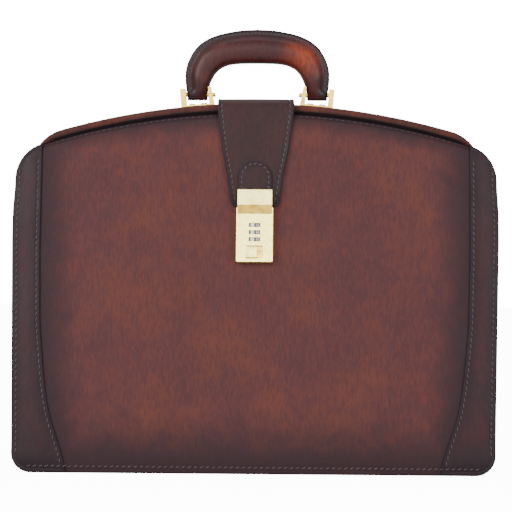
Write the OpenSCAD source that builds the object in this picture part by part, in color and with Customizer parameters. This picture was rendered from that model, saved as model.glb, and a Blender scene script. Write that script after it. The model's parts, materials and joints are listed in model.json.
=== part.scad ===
// Doctor bag: a leather bag whose mouth is a hinged steel frame, with a top handle,
// a closing strap with a metal hasp, and a three-wheel number lock on the front wall.
// Units are millimetres. X runs to the right, the front faces -Y, Z points up.
// The origin is the centre of the base, on the ground.

/* [Part] */
// Which sub-part to build, or all of them

/* [Body] */
// Width of the bag at its base
body_w = 430; // [410:5:450]
// Depth of the bag at its base, over the two walls
body_d = 170; // [160:5:180]
// Inward lean of the front and rear walls, in degrees
wall_lean = 8.8; // [8.6:0.1:9]
// Height of the walls at the middle of their top edge
wall_h = 323; // [322:0.5:324]
// Radius of the walls' lower corners
foot_r = 18; // [14:1:20]

/* [Frame] */
// Height of the closed frame at its middle
frame_h = 332.5; // [331.5:0.5:333.5]
// Half width of the frame over its covers
frame_half_w = 205; // [203:0.5:206]
// Height of the frame's hinge pins
hinge_z = 250; // [248:1:252]

/* [Handle] */
// Height of the handle's pins above the frame
handle_pin_rise = 10.5; // [10:0.5:11]
// Height of the handle's top
handle_top = 404; // [400:0.5:406]
// Thickness of the handle, front to back
handle_t = 18; // [16:1:20]

/* [Lock] */
// Width of the lock case
lock_w = 32.7; // [32:0.1:34]
// Height of the lock case
lock_h = 49.8; // [49.8:0.1:50.4]
// How far the lock case stands off the leather
lock_proud = 7; // [7:0.1:7.4]

/* [Hidden] */
$fn = 64;
arc_facets = 720;                              // facets of the long, shallow arcs
gap = 0.2;                                     // clearance between pieces that part
run = 0.05;                                    // radial running clearance of the pins
over = 1;                                      // how far cutters run past a face

leather = 2.2;                                 // wall and base leather
board = 1.6;                                   // stiffening board in the walls
lining = 0.8;                                  // fabric lining
strip_t = 1.8;                                 // side strips sewn on the walls
wall_t = leather + board + lining;
slope = 1 / cos(wall_lean);                    // length along a wall for each mm of height
wall_lift = wall_t * sin(wall_lean);           // raises a leaning wall onto the ground

wall_edge_x = body_w / 2;
bulge_x = wall_edge_x + 4.4;                   // the walls are widest above their middle
shoulder_x = wall_edge_x + 3;
shoulder_r = 33;
wall_arch_r = 641;                             // radius of the walls' top edge
bulge_from = 28 * slope;
bulge_to = 208 * slope;
taper_from = 232 * slope;
taper_to = 256 * slope;

base_x = wall_edge_x - foot_r;                 // where the base starts to turn up
base_y = body_d / 2 - wall_t - 1.4;
base_up_y = body_d / 2 - wall_t - 3.9;         // the turned-up ends clear the leaning walls
base_board_t = 3;

frame_arch_r = 650;
frame_shoulder_r = 37;
frame_inner_r = 16;                            // fillet inside each shoulder
frame_band = 22;                               // height of the frame's band
frame_arm = 9;                                 // width of the frame's side arms
bar_wall = 2;                                  // metal of the hollow frame bars
cover_t = 2;                                   // leather on the frame bars
front_half_y = -30;                            // front face of the front frame half
parting_y = -9;                                // rear face of the front frame half
parting_gap = 0.5;
rear_half_y = 30;                              // rear face of the rear frame half
arm_end_z = hinge_z + 16;
ear_r = 7;
ear_lap = 4;                                   // how far an ear overlaps its arm
ear_t = 2.3;
ear_gap = 0.4;
pin_r = 2.5;
pin_head_r = 4.5;
ear_in_x = frame_half_w - frame_arm + cover_t; // inner face of the front half's ear
ear_out_x = ear_in_x + ear_t + ear_gap;        // inner face of the rear half's ear

gusset_t = 2.2;
gusset_foot_x = wall_edge_x - 6;
gusset_foot_z = 14;
gusset_foot_y = body_d / 2 - wall_t - 4.9;
gusset_fold_x = 168;                           // how far in the fold reaches
gusset_fold_z = 150;
gusset_top_x = frame_half_w - 15;              // top of the fold, under the hinge pin
gusset_corner_x = frame_half_w - 13;
gusset_corner_z = hinge_z;                     // higher up the frame's arms swing past
gusset_corner_y = 38.7;

bracket_x = 54.6;
bracket_y = 10;
bracket_w = 31.2;
bracket_d = 12;
bracket_post = 5;
bracket_bar = 3.5;
bracket_h = 19.2;
bracket_slant = 2.4;                           // how much the post next to the strap tapers
bracket_tilt = asin(bracket_x / frame_arch_r);
bracket_seat_z = frame_h - frame_arch_r + sqrt(pow(frame_arch_r, 2) - pow(bracket_x, 2));
rivet_r = 1.6;
rivet_head_r = 3;
rivet_head_t = 1.2;
rivet_l = 13;
rivet_x = 5.5;                                 // from a bracket's middle

handle_pin_z = frame_h + handle_pin_rise;
handle_pin_r = 2;
bush_r = 3.2;
leg_in_x = 46;
leg_out_x = 64.6;
leg_end_r = 4.5;                               // round end of the legs about the pin
leg_wide_z = handle_pin_z + 12;
grip_under_z = handle_top - 32;
handle_shell = 3;
core_from_z = handle_pin_z + 6;

strap_t = 4.5;
strap_under_z = frame_h + 0.1;
strap_top_z = strap_under_z + strap_t;
strap_half_w = 34.6;
strap_split_z = 277;                           // the part above this bends as the bag opens
strap_end_z = 236.6;
strap_end_r = 4;
strap_rear_y = 27;
strap_front_y = -38.5;
strap_rivet_x = 20;
strap_rivet_y = 19;

tab_w = 30;
tab_t = 2.4;
tab_top_z = 276.6;
tab_end_z = 238.5;
hasp_w = 31;
hasp_top_z = 251.3;
hasp_lip_z = 237.2;
hasp_end_z = 229.6;
hasp_t = 2.2;
staple_half_w = 3;

lock_z = 211.1 * slope;                        // middle of the lock, along the wall
case_t = 1.2;
window_w = 10.4;
window_h = 3.8;
wheel_zs = [8.45, 1.85, -4.55];                // wheel heights from the lock's middle
wheel_r = 5.6;
wheel_t = 3.4;
wheel_sides = 10;
shaft_r = 1.5;
shaft_y = -lock_proud + 5;                     // the wheels' axis, behind the lock's face
shaft_lo = -10;
shaft_hi = 13;
recess_w = 15.3;
button_w = 10.2;
button_h = 11.7;
button_z = -16.1;
flange_w = 14;
latch_x = 8;                                   // left edge of the latch's upright
latch_w = 2;
latch_t = 1.2;
finger_z = 19.5;
plate_w = lock_w + 4;
plate_h = lock_h + 4;
plate_t = 1.2;
lock_rivet_x = 13;
lock_rivet_tip = -3.2;                         // the rivets end behind the latch
lock_rivet_zs = [-20, 18];

pocket_w = 170;
pocket_h = 110;
pocket_d = 5;
pocket_z = 45;
pocket_wall = 1.4;

leather_brown = [0.34, 0.19, 0.15];
leather_dark = [0.24, 0.17, 0.17];
lining_tan = [0.62, 0.52, 0.40];
board_grey = [0.45, 0.40, 0.34];
brass = [0.86, 0.74, 0.42];
steel = [0.62, 0.62, 0.64];

// ---------- helpers ----------

// A flat shape drawn in X and Z, given thickness between two Y values
module in_xz(y0, y1) {
  translate([0, y1, 0]) rotate([90, 0, 0]) linear_extrude(y1 - y0) children();
}

// A flat shape drawn in Y and Z, given thickness between two X values
module in_yz(x0, x1) {
  translate([x0, 0, 0]) rotate([90, 0, 90]) linear_extrude(x1 - x0) children();
}

// A round bar along X
module x_bar(x0, x1, y, z, r) {
  translate([x0, y, z]) rotate([0, 90, 0]) cylinder(h = x1 - x0, r = r);
}

// A round bar along Y
module y_bar(x, z, y0, y1, r) {
  translate([x, y1, z]) rotate([90, 0, 0]) cylinder(h = y1 - y0, r = r);
}

// The child and its mirror image across the middle of the bag
module both_sides() {
  for (side = [0, 1]) mirror([side, 0, 0]) children();
}

// The same points on the other side of the middle, in reverse order
function mirrored(points) = [
  for (i = [len(points) - 1 : -1 : 0]) [-points[i][0], points[i][1]]
];

// The area under an arch: a shallow arc, a fillet at each shoulder and straight sides
module arch_area(crown, arc_r, half_w, fillet_r, bottom) {
  centre_z = crown - arc_r;
  fillet_x = half_w - fillet_r;
  fillet_z = centre_z + sqrt(pow(arc_r - fillet_r, 2) - pow(fillet_x, 2));
  tangent_x = fillet_x * arc_r / (arc_r - fillet_r);
  intersection() {
    translate([0, centre_z]) circle(arc_r, $fn = arc_facets);
    translate([-tangent_x, bottom]) square([2 * tangent_x, crown - bottom]);
  }
  for (side = [-1, 1]) intersection() {
    translate([side * fillet_x, fillet_z]) circle(fillet_r);
    translate([-half_w, fillet_z - over]) square([2 * half_w, fillet_r + over]);
  }
  translate([-half_w, bottom]) square([2 * half_w, fillet_z - bottom]);
}

// Puts a wall-frame piece on the front wall: X across, Y into the bag, Z up the wall
module on_front_wall() {
  translate([0, -body_d / 2, wall_lift]) rotate([-wall_lean, 0, 0]) children();
}

// The same for the rear wall
module on_rear_wall() {
  mirror([0, 1, 0]) on_front_wall() children();
}

// Puts a lock-frame piece on the front wall: the origin is the lock's middle, on the leather
module on_lock() {
  on_front_wall() translate([0, 0, lock_z]) children();
}

// ---------- base ----------

module base_panel() {
  color(leather_brown) {
    translate([-base_x, -base_y, 0]) cube([2 * base_x, 2 * base_y, leather]);
    both_sides() translate([base_x, 0, foot_r]) in_xz(-base_up_y, base_up_y) turned_end();
  }
}

// Quarter ring where the base leather turns up to meet a gusset
module turned_end() {
  intersection() {
    difference() {
      circle(foot_r);
      circle(foot_r - leather);
    }
    translate([0, -foot_r]) square(foot_r);
  }
}

module base_board() {
  color(board_grey) translate([-base_x, -base_y, leather])
    cube([2 * base_x, 2 * base_y, base_board_t]);
}

module base_lining() {
  color(lining_tan) translate([-base_x, -base_up_y, leather + base_board_t])
    cube([2 * base_x, 2 * base_up_y, lining]);
}

// ---------- walls ----------

// Right side of a wall below its shoulder
wall_side = [
  [wall_edge_x, 0], [wall_edge_x, bulge_from], [bulge_x, bulge_to], [bulge_x, taper_from],
  [shoulder_x, taper_to]
];

// Outline of a wall, seen square on
module wall_area() {
  difference() {
    union() {
      arch_area(wall_h * slope, wall_arch_r, shoulder_x, shoulder_r, taper_from);
      polygon(concat(wall_side, mirrored(wall_side)));
    }
    for (side = [0, 1]) mirror([side, 0]) difference() {
      translate([base_x, -over]) square(foot_r + over);
      translate([base_x, foot_r]) circle(foot_r);
      translate([base_x - foot_r, 0]) square([foot_r, foot_r]);
      translate([base_x, foot_r]) square(foot_r);
    }
  }
}

// The opening behind the lock, where its wheels reach into the wall
module lock_opening() {
  translate([-7.4, lock_z - 10]) square([14.4, 23]);
}

module wall_layer(from, thick, shrink) {
  in_xz(from, from + thick) intersection() {
    wall_area();
    translate([-bulge_x + shrink, shrink])
      square([2 * (bulge_x - shrink), wall_h * slope]);
  }
}

module front_layer(from, thick, shrink) {
  on_front_wall() difference() {
    wall_layer(from, thick, shrink);
    in_xz(from - over, from + thick + over) lock_opening();
    lock_rivet_places() y_bar(0, 0, -over, wall_t + over, rivet_r);
  }
}

module lock_rivet_places() {
  for (x = [-lock_rivet_x, lock_rivet_x], z = lock_rivet_zs)
    translate([x, 0, lock_z + z]) children();
}

module front_panel() {
  color(leather_brown) front_layer(0, leather, 0);
}

module front_board() {
  color(board_grey) front_layer(leather, board, 3);
}

module front_lining() {
  color(lining_tan) difference() {
    front_layer(leather + board, lining, 3);
    on_lock() in_xz(0, wall_t + over)
      translate([-plate_w / 2 - gap, -plate_h / 2 - gap]) square([plate_w + 2 * gap, plate_h + 2 * gap]);
  }
}

module rear_panel() {
  color(leather_brown) on_rear_wall() wall_layer(0, leather, 0);
}

module rear_board() {
  color(board_grey) on_rear_wall() wall_layer(leather, board, 3);
}

module rear_lining() {
  color(lining_tan) on_rear_wall() wall_layer(leather + board, lining, 3);
}

// A strip sewn over the wall's edge; it widens towards the foot
module strip() {
  in_xz(-strip_t, 0) intersection() {
    wall_area();
    polygon([
      [wall_edge_x - 50.5, -over], [wall_edge_x - 47.5, 11], [wall_edge_x - 43.3, 25],
      [wall_edge_x - 37.5, 40], [wall_edge_x - 34.2, 51], [wall_edge_x - 31.6, 62],
      [wall_edge_x - 28.5, 84], [wall_edge_x - 23.8, 130], [wall_edge_x - 22, 200],
      [wall_edge_x - 21.6, 400], [bulge_x + over, 400], [bulge_x + over, -over]
    ]);
  }
}

module front_left_strip() {
  color(leather_dark) on_front_wall() mirror([1, 0, 0]) strip();
}

module front_right_strip() {
  color(leather_dark) on_front_wall() strip();
}

module rear_left_strip() {
  color(leather_dark) on_rear_wall() mirror([1, 0, 0]) strip();
}

module rear_right_strip() {
  color(leather_dark) on_rear_wall() strip();
}

// Open-topped pocket sewn to the rear lining
module inner_pocket() {
  color(lining_tan) on_rear_wall() translate([-pocket_w / 2, wall_t, pocket_z]) difference() {
    cube([pocket_w, pocket_d, pocket_h]);
    translate([pocket_wall, pocket_wall, pocket_wall])
      cube([pocket_w - 2 * pocket_wall, pocket_d - 2 * pocket_wall, pocket_h]);
  }
}

// ---------- gussets ----------

// One flat panel of folded leather between three points
module sheet(a, b, c) {
  hull() for (p = [a, b, c]) translate(p) sphere(r = gusset_t / 2, $fn = 16);
}

// Half of a side gusset, from the fold to one wall; dir is -1 at the front, 1 at the rear
module gusset_half(dir) {
  foot = [gusset_foot_x, dir * gusset_foot_y, gusset_foot_z];
  fold_foot = [gusset_foot_x, 0, gusset_foot_z];
  fold_mid = [gusset_fold_x, 0, gusset_fold_z];
  fold_top = [gusset_top_x, 0, hinge_z - 8];
  corner = [gusset_corner_x, dir * gusset_corner_y, gusset_corner_z];
  sheet(foot, fold_foot, fold_mid);
  sheet(foot, fold_mid, corner);
  sheet(fold_mid, fold_top, corner);
}

module right_gusset() {
  color(leather_brown) {
    gusset_half(-1);
    gusset_half(1);
  }
}

module left_gusset() {
  mirror([1, 0, 0]) right_gusset();
}

// ---------- frame ----------

// Band of the frame down to the arms' ends; inset shrinks it on every side
module frame_band_area(inset) {
  difference() {
    arch_area(frame_h - inset, frame_arch_r - inset, frame_half_w - inset,
      frame_shoulder_r - inset, arm_end_z);
    arch_area(frame_h - frame_band + inset, frame_arch_r - frame_band + inset,
      frame_half_w - frame_arm + inset, frame_inner_r + inset, arm_end_z);
    translate([-ear_in_x, arm_end_z - over]) square([2 * ear_in_x, 2 * over]);
  }
}

// Hollow of a frame bar, open towards the inside of the arch; the arms' ends stay solid
module frame_hollow_area() {
  inset = cover_t + bar_wall;
  arch_area(frame_h - inset, frame_arch_r - inset, frame_half_w - inset,
    frame_shoulder_r - inset, arm_end_z + ear_lap + 1);
}

// Bar of one frame half; y0 and y1 bound it
module frame_bar(y0, y1) {
  difference() {
    in_xz(y0, y1) frame_band_area(cover_t);
    in_xz(y0 + bar_wall, y1 - bar_wall) frame_hollow_area();
  }
}

// Ear that reaches from an arm's end to the hinge pin; y0 and y1 bound the arm
module ear(x0, y0, y1) {
  difference() {
    in_yz(x0, x0 + ear_t) {
      translate([0, hinge_z]) circle(ear_r);
      polygon([[-ear_r, hinge_z], [y0, arm_end_z], [y0, arm_end_z + ear_lap],
        [y1, arm_end_z + ear_lap], [y1, arm_end_z], [ear_r, hinge_z]]);
    }
    x_bar(x0 - over, x0 + ear_t + over, 0, hinge_z, pin_r + run);
  }
}

module front_frame_bar() {
  color(steel) {
    frame_bar(front_half_y + cover_t, parting_y);
    both_sides() ear(ear_in_x, front_half_y + cover_t, parting_y);
  }
}

module front_frame_cover() {
  color(leather_brown) difference() {
    in_xz(front_half_y, parting_y) frame_band_area(0);
    in_xz(front_half_y + cover_t, parting_y + over)
      frame_band_area(cover_t);
  }
}

// Places of the rivets that hold the handle brackets, on the tilted seats
module bracket_rivet_places() {
  both_sides() on_bracket_seat()
    for (x = [-rivet_x, rivet_x]) translate([x, 0, 0]) children();
}

module on_bracket_seat() {
  translate([bracket_x, bracket_y, bracket_seat_z]) rotate([0, bracket_tilt, 0]) children();
}

module strap_rivet_places() {
  for (x = [-strap_rivet_x, strap_rivet_x]) translate([x, strap_rivet_y, 0]) children();
}

// Holes through the rear half's top for the bracket rivets and the strap rivets
module rear_half_holes() {
  bracket_rivet_places() translate([0, 0, -rivet_l]) cylinder(h = rivet_l + over, r = rivet_r);
  strap_rivet_places() translate([0, 0, strap_top_z - rivet_l]) cylinder(h = rivet_l, r = rivet_r);
}

module rear_frame_bar() {
  color(steel) {
    difference() {
      frame_bar(parting_y + parting_gap, rear_half_y - cover_t);
      rear_half_holes();
    }
    both_sides() ear(ear_out_x, parting_y + parting_gap, rear_half_y - cover_t);
  }
}

module rear_frame_cover() {
  color(leather_brown) difference() {
    in_xz(parting_y + parting_gap, rear_half_y) frame_band_area(0);
    in_xz(parting_y, rear_half_y - cover_t)
      frame_band_area(cover_t);
    rear_half_holes();
  }
}

// Headed pins through the ears of both halves
module frame_hinge_pins() {
  color(brass) both_sides() {
    x_bar(gusset_top_x + gusset_t, ear_in_x - gap, 0, hinge_z, pin_head_r);
    x_bar(gusset_top_x + gusset_t, ear_out_x + ear_t + cover_t, 0, hinge_z, pin_r);
    x_bar(ear_out_x + ear_t + gap, ear_out_x + ear_t + cover_t, 0, hinge_z, pin_head_r);
  }
}

// ---------- handle ----------

// U-shaped bracket on the frame, with a bore for the handle pin
module handle_bracket() {
  half_w = bracket_w / 2;
  color(brass) difference() {
    on_bracket_seat() in_xz(-bracket_d / 2, bracket_d / 2) polygon([
      [-half_w, 0], [half_w, 0], [half_w, bracket_h], [half_w - bracket_post, bracket_h],
      [half_w - bracket_post, bracket_bar], [bracket_post - half_w, bracket_bar],
      [bracket_post - half_w, bracket_h], [bracket_slant - half_w, bracket_h]
    ]);
    on_bracket_seat() for (x = [-rivet_x, rivet_x])
      translate([x, 0, -over]) cylinder(h = bracket_bar + 2 * over, r = rivet_r);
    x_bar(bracket_x - bracket_w, bracket_x + bracket_w, bracket_y, handle_pin_z, handle_pin_r);
  }
}

module right_handle_bracket() {
  handle_bracket();
}

module left_handle_bracket() {
  mirror([1, 0, 0]) handle_bracket();
}

module bracket_rivets() {
  color(steel) bracket_rivet_places() {
    translate([0, 0, bracket_bar - rivet_l]) cylinder(h = rivet_l, r = rivet_r);
    translate([0, 0, bracket_bar]) cylinder(h = rivet_head_t, r = rivet_head_r);
  }
}

module handle_pins() {
  color(brass) both_sides()
    x_bar(bracket_x - bracket_w / 2 - 0.3, bracket_x + bracket_w / 2 + 0.3, bracket_y,
      handle_pin_z, handle_pin_r);
}

// Outline of the handle, seen from the front; shell is the inset from its surface
module handle_area(shell, bottom) {
  difference() {
    arch_area(handle_top - shell, 260 - shell, leg_out_x + 2 - shell, 24 - shell, bottom);
    translate([0, -over]) arch_area(grip_under_z + shell + over, 200 + shell, leg_in_x + shell,
      9 + shell, bottom);
    for (side = [0, 1]) mirror([side, 0]) translate([leg_out_x - shell, bottom - over])
      square([10, handle_top - 45 - bottom]);
  }
}

// Side view of the handle: a round end about the pin that widens to the full thickness
module handle_side_area() {
  end_steps = 8;
  half = concat(
    [for (i = [0 : end_steps]) [leg_end_r * sin(90 * i / end_steps), -leg_end_r * cos(90 * i / end_steps)]],
    [[handle_t / 2, leg_wide_z - handle_pin_z], [handle_t / 2, handle_top - handle_pin_z]]
  );
  translate([bracket_y, handle_pin_z]) polygon(concat(half, mirrored(half)));
}

module handle_core_solid() {
  in_xz(bracket_y - handle_t / 2 + handle_shell, bracket_y + handle_t / 2 - handle_shell)
    handle_area(handle_shell, core_from_z);
}

module handle_core() {
  color(steel) handle_core_solid();
}

module handle_cover() {
  color(leather_brown) difference() {
    intersection() {
      in_xz(bracket_y - handle_t, bracket_y + handle_t)
        handle_area(0, handle_pin_z - leg_end_r);
      in_yz(-2 * leg_out_x, 2 * leg_out_x) handle_side_area();
    }
    handle_core_solid();
    both_sides() x_bar(leg_in_x - over, leg_out_x + over, bracket_y, handle_pin_z, bush_r);
  }
}

module handle_bushings() {
  color(brass) both_sides() difference() {
    x_bar(leg_in_x, leg_out_x, bracket_y, handle_pin_z, bush_r);
    x_bar(leg_in_x - over, leg_out_x + over, bracket_y, handle_pin_z, handle_pin_r + run);
  }
}

// ---------- strap ----------

// Rear end of the strap, riveted to the rear frame half under the handle
module strap_anchor() {
  anchor_y = parting_y + parting_gap;
  color(leather_dark) difference() {
    translate([-strap_half_w, anchor_y, strap_under_z])
      cube([2 * strap_half_w, strap_rear_y - anchor_y, strap_t]);
    strap_rivet_places() translate([0, 0, frame_h - over]) cylinder(h = strap_t + 2 * over, r = rivet_r);
  }
}

module strap_rivets() {
  color(brass) strap_rivet_places() {
    translate([0, 0, strap_top_z - rivet_l]) cylinder(h = rivet_l, r = rivet_r);
    translate([0, 0, strap_top_z]) cylinder(h = rivet_head_t, r = rivet_head_r);
  }
}

// Outline of the hanging strap: it narrows from the frame down to its end
module strap_area() {
  end_half_w = 21.3;
  end_z = strap_end_z * slope;
  corner = strap_end_r * 0.3;
  half = [
    [end_half_w - strap_end_r, end_z], [end_half_w - corner, end_z + corner],
    [end_half_w, end_z + strap_end_r], [25.3, 266 * slope], [30.2, 289 * slope],
    [strap_half_w, 325 * slope], [strap_half_w, 400]
  ];
  polygon(concat(half, mirrored(half)));
}

// Layer of the strap on the outside of the front wall, between two heights
module strap_layer(low, high) {
  on_front_wall() in_xz(-strap_t - gap, -gap) intersection() {
    strap_area();
    translate([-50, low * slope]) square([100, (high - low) * slope]);
  }
}

// The bending part: over the front half of the frame and down past the wall's top edge
module strap_bridge() {
  color(leather_dark) {
    difference() {
      in_yz(-strap_half_w, strap_half_w) polygon([
        [parting_y + gap, strap_under_z], [parting_y + gap, strap_top_z],
        [strap_front_y + 2, strap_top_z], [strap_front_y, strap_top_z - 2],
        [-body_d / 2 + 325 * tan(wall_lean) - 4.6, 325], [-body_d / 2 + 325 * tan(wall_lean), 325],
        [front_half_y - 3, strap_under_z]
      ]);
    }
    strap_layer(strap_split_z, 325.5);
  }
}

module strap_flap() {
  color(leather_dark) strap_layer(strap_end_z, strap_split_z - gap);
}

// Short second layer of leather with a rounded top; the hasp is fixed to it
module strap_tab() {
  color(leather_dark) on_front_wall() in_xz(-strap_t - gap - tab_t, -strap_t - gap) {
    translate([-tab_w / 2, tab_end_z * slope])
      square([tab_w, (tab_top_z - tab_end_z) * slope - tab_w / 2]);
    translate([0, tab_top_z * slope - tab_w / 2]) circle(tab_w / 2);
  }
}

// Metal end of the strap: a flat face, a lip over the lock, and a staple behind the lip
module hasp() {
  face_y = -strap_t - gap - tab_t;
  lip_y = -lock_proud - gap;
  color(brass) on_front_wall() {
    in_yz(-hasp_w / 2, hasp_w / 2) polygon([
      [face_y, hasp_top_z * slope], [face_y - hasp_t + 0.6, hasp_top_z * slope],
      [face_y - hasp_t, hasp_top_z * slope - 0.6], [face_y - hasp_t - 0.8, hasp_lip_z * slope],
      [lip_y - 0.8, hasp_end_z * slope], [lip_y, hasp_end_z * slope], [lip_y, hasp_lip_z * slope]
    ]);
    in_yz(-staple_half_w, staple_half_w) polygon([
      [lip_y, 231 * slope], [lip_y, 234.5 * slope], [-3.4, 234.5 * slope], [-3.4, 231 * slope]
    ]);
  }
}

// ---------- lock ----------

module lock_case() {
  color(brass) on_lock() difference() {
    in_xz(-lock_proud, 0) rounded_plate(lock_w, lock_h, 1.5);
    // cavity for the wheels and the latch
    translate([-7.2, -lock_proud + case_t, shaft_lo + 2]) cube([22.3, lock_proud, 19]);
    translate([7.2, -lock_proud + case_t, button_z + 1]) cube([7.9, lock_proud, 38.4]);
    translate([0, -lock_proud + case_t, finger_z - 2]) cube([15.1, lock_proud, 4]);
    // cavity for the button's flange, and its recess in the face
    translate([-9.7, -lock_proud + case_t, button_z - button_h / 2 - gap])
      cube([19.4, lock_proud, button_h + 2 * gap]);
    translate([-recess_w / 2, -lock_proud - over, button_z - button_h / 2 - 0.1])
      cube([recess_w, 2 * over + case_t, button_h + 0.2]);
    // windows for the three wheels
    for (z = wheel_zs) translate([-window_w / 2, -lock_proud - over, z - window_h / 2])
      cube([window_w, 2 * over + case_t, window_h]);
    // notch at the top for the hasp's staple
    translate([-staple_half_w - 0.6, -lock_proud - over, lock_h / 2 - 6])
      cube([2 * staple_half_w + 1.2, lock_proud - 2, 6 + over]);
    translate([0, shaft_y, shaft_lo]) cylinder(h = shaft_hi - shaft_lo, r = shaft_r);
    for (x = [-lock_rivet_x, lock_rivet_x], z = lock_rivet_zs)
      y_bar(x, z, lock_rivet_tip, over, rivet_r);
  }
}

// Rectangle with rounded corners, centred
module rounded_plate(w, h, r) {
  translate([-w / 2 + r, -h / 2]) square([w - 2 * r, h]);
  translate([-w / 2, -h / 2 + r]) square([w, h - 2 * r]);
  for (x = [-1, 1], z = [-1, 1]) translate([x * (w / 2 - r), z * (h / 2 - r)]) circle(r);
}

// Plate on the inside of the wall that clamps the lock
module lock_backplate() {
  color(steel) on_lock() difference() {
    in_xz(leather + board, leather + board + plate_t) rounded_plate(plate_w, plate_h, 3);
    for (x = [-lock_rivet_x, lock_rivet_x], z = lock_rivet_zs)
      y_bar(x, z, 0, wall_t + 2 * over, rivet_r);
  }
}

module lock_rivets() {
  plate_back = leather + board + plate_t;
  color(steel) on_lock() for (x = [-lock_rivet_x, lock_rivet_x], z = lock_rivet_zs) {
    y_bar(x, z, lock_rivet_tip, plate_back, rivet_r);
    y_bar(x, z, plate_back, plate_back + rivet_head_t, rivet_head_r - 0.4);
  }
}

module wheel_shaft() {
  color(steel) on_lock() translate([0, shaft_y, shaft_lo])
    cylinder(h = shaft_hi - shaft_lo, r = shaft_r);
}

// Leaf spring beside the wheels
module detent_spring() {
  color(steel) on_lock() translate([-6.8, shaft_y - 2, -8]) cube([0.4, leather + board + 2 - shaft_y, 19]);
}

// One ten-sided number wheel, which turns on the shaft
module number_wheel(z) {
  color(brass) on_lock() translate([0, shaft_y, z - wheel_t / 2]) difference() {
    rotate([0, 0, 90 + 180 / wheel_sides]) cylinder(h = wheel_t, r = wheel_r, $fn = wheel_sides);
    translate([0, 0, -over]) cylinder(h = wheel_t + 2 * over, r = shaft_r + run);
  }
}

module lock_wheel_1() {
  number_wheel(wheel_zs[0]);
}

module lock_wheel_2() {
  number_wheel(wheel_zs[1]);
}

module lock_wheel_3() {
  number_wheel(wheel_zs[2]);
}

// Sliding button at the foot of the lock, with a flange behind the face
module lock_button() {
  inner_face = -lock_proud + case_t;
  color(brass) on_lock() {
    translate([-recess_w / 2, -lock_proud - 0.9, button_z - button_h / 2])
      cube([button_w, 0.9 + case_t + 0.1, button_h]);
    translate([-9.5, inner_face + 0.1, button_z - button_h / 2])
      cube([flange_w, 1, button_h]);
  }
}

// Latch fixed behind the button; its finger reaches the hasp's staple at the top
module lock_latch() {
  latch_y = -lock_proud + case_t + 1.1;
  color(steel) on_lock() translate([0, latch_y, 0]) {
    translate([2, 0, button_z + 1.5]) cube([latch_x + latch_w - 2, latch_t, 4]);
    translate([latch_x, 0, button_z + 1.5]) cube([latch_w, latch_t, finger_z - button_z]);
    translate([staple_half_w + 1, 0, finger_z - 1]) cube([latch_x + latch_w - staple_half_w - 1, latch_t, 2]);
  }
}

// ---------- what is drawn ----------

base_panel();
base_board();
base_lining();
front_panel();
front_board();
front_lining();
front_left_strip();
front_right_strip();
rear_panel();
rear_board();
rear_lining();
rear_left_strip();
rear_right_strip();
inner_pocket();
left_gusset();
right_gusset();
frame_hinge_pins();
front_frame_bar();
front_frame_cover();
rear_frame_bar();
rear_frame_cover();
left_handle_bracket();
right_handle_bracket();
bracket_rivets();
handle_pins();
handle_core();
handle_cover();
handle_bushings();
strap_anchor();
strap_rivets();
strap_bridge();
strap_flap();
strap_tab();
hasp();
lock_case();
lock_backplate();
lock_rivets();
wheel_shaft();
detent_spring();
lock_wheel_1();
lock_wheel_2();
lock_wheel_3();
lock_button();
lock_latch();
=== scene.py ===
"""Looks of the doctor bag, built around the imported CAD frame.

Lengths in this file are millimetres; make_mesh() turns them into metres.
X runs to the right, the front faces -Y and Z points up.
"""

import json
import math
from contextlib import contextmanager

import bmesh
import bpy
import numpy as np
from mathutils import Euler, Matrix, Quaternion, Vector, noise


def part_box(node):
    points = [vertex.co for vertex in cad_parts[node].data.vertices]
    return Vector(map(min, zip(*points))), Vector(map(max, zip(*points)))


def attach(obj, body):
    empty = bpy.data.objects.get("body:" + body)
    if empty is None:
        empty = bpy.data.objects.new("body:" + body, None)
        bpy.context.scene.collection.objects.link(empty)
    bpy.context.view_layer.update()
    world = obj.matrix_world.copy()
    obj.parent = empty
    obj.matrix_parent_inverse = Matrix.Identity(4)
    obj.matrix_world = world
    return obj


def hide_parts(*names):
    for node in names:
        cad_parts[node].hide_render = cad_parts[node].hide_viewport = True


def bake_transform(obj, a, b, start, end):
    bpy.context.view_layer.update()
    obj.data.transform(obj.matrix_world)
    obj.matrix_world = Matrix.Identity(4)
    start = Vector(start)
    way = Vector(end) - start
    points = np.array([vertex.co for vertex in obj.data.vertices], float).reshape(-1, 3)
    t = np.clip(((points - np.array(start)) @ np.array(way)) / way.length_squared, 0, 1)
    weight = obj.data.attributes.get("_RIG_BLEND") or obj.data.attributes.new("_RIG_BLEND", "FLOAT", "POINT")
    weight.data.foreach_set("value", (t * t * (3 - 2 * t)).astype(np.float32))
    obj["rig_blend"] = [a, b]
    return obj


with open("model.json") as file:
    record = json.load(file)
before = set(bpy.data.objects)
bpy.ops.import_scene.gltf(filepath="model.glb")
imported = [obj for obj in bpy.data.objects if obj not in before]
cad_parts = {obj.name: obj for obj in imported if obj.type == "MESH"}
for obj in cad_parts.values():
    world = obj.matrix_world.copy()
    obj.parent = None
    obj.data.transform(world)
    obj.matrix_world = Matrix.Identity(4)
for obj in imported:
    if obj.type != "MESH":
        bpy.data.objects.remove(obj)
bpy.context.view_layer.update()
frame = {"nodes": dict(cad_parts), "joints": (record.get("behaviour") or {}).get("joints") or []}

# ---------- sizes, all from the frame ----------

MM = 0.001
JOINTS = {j["name"]: j for j in frame["joints"]}


def pivot(name):
    """A joint's position in millimetres."""
    return np.array(JOINTS[name]["pos_m"]) / MM


def box(node):
    """The lowest and highest corner of a CAD node in millimetres."""
    low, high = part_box(node)
    return np.array(low) / MM, np.array(high) / MM


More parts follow.
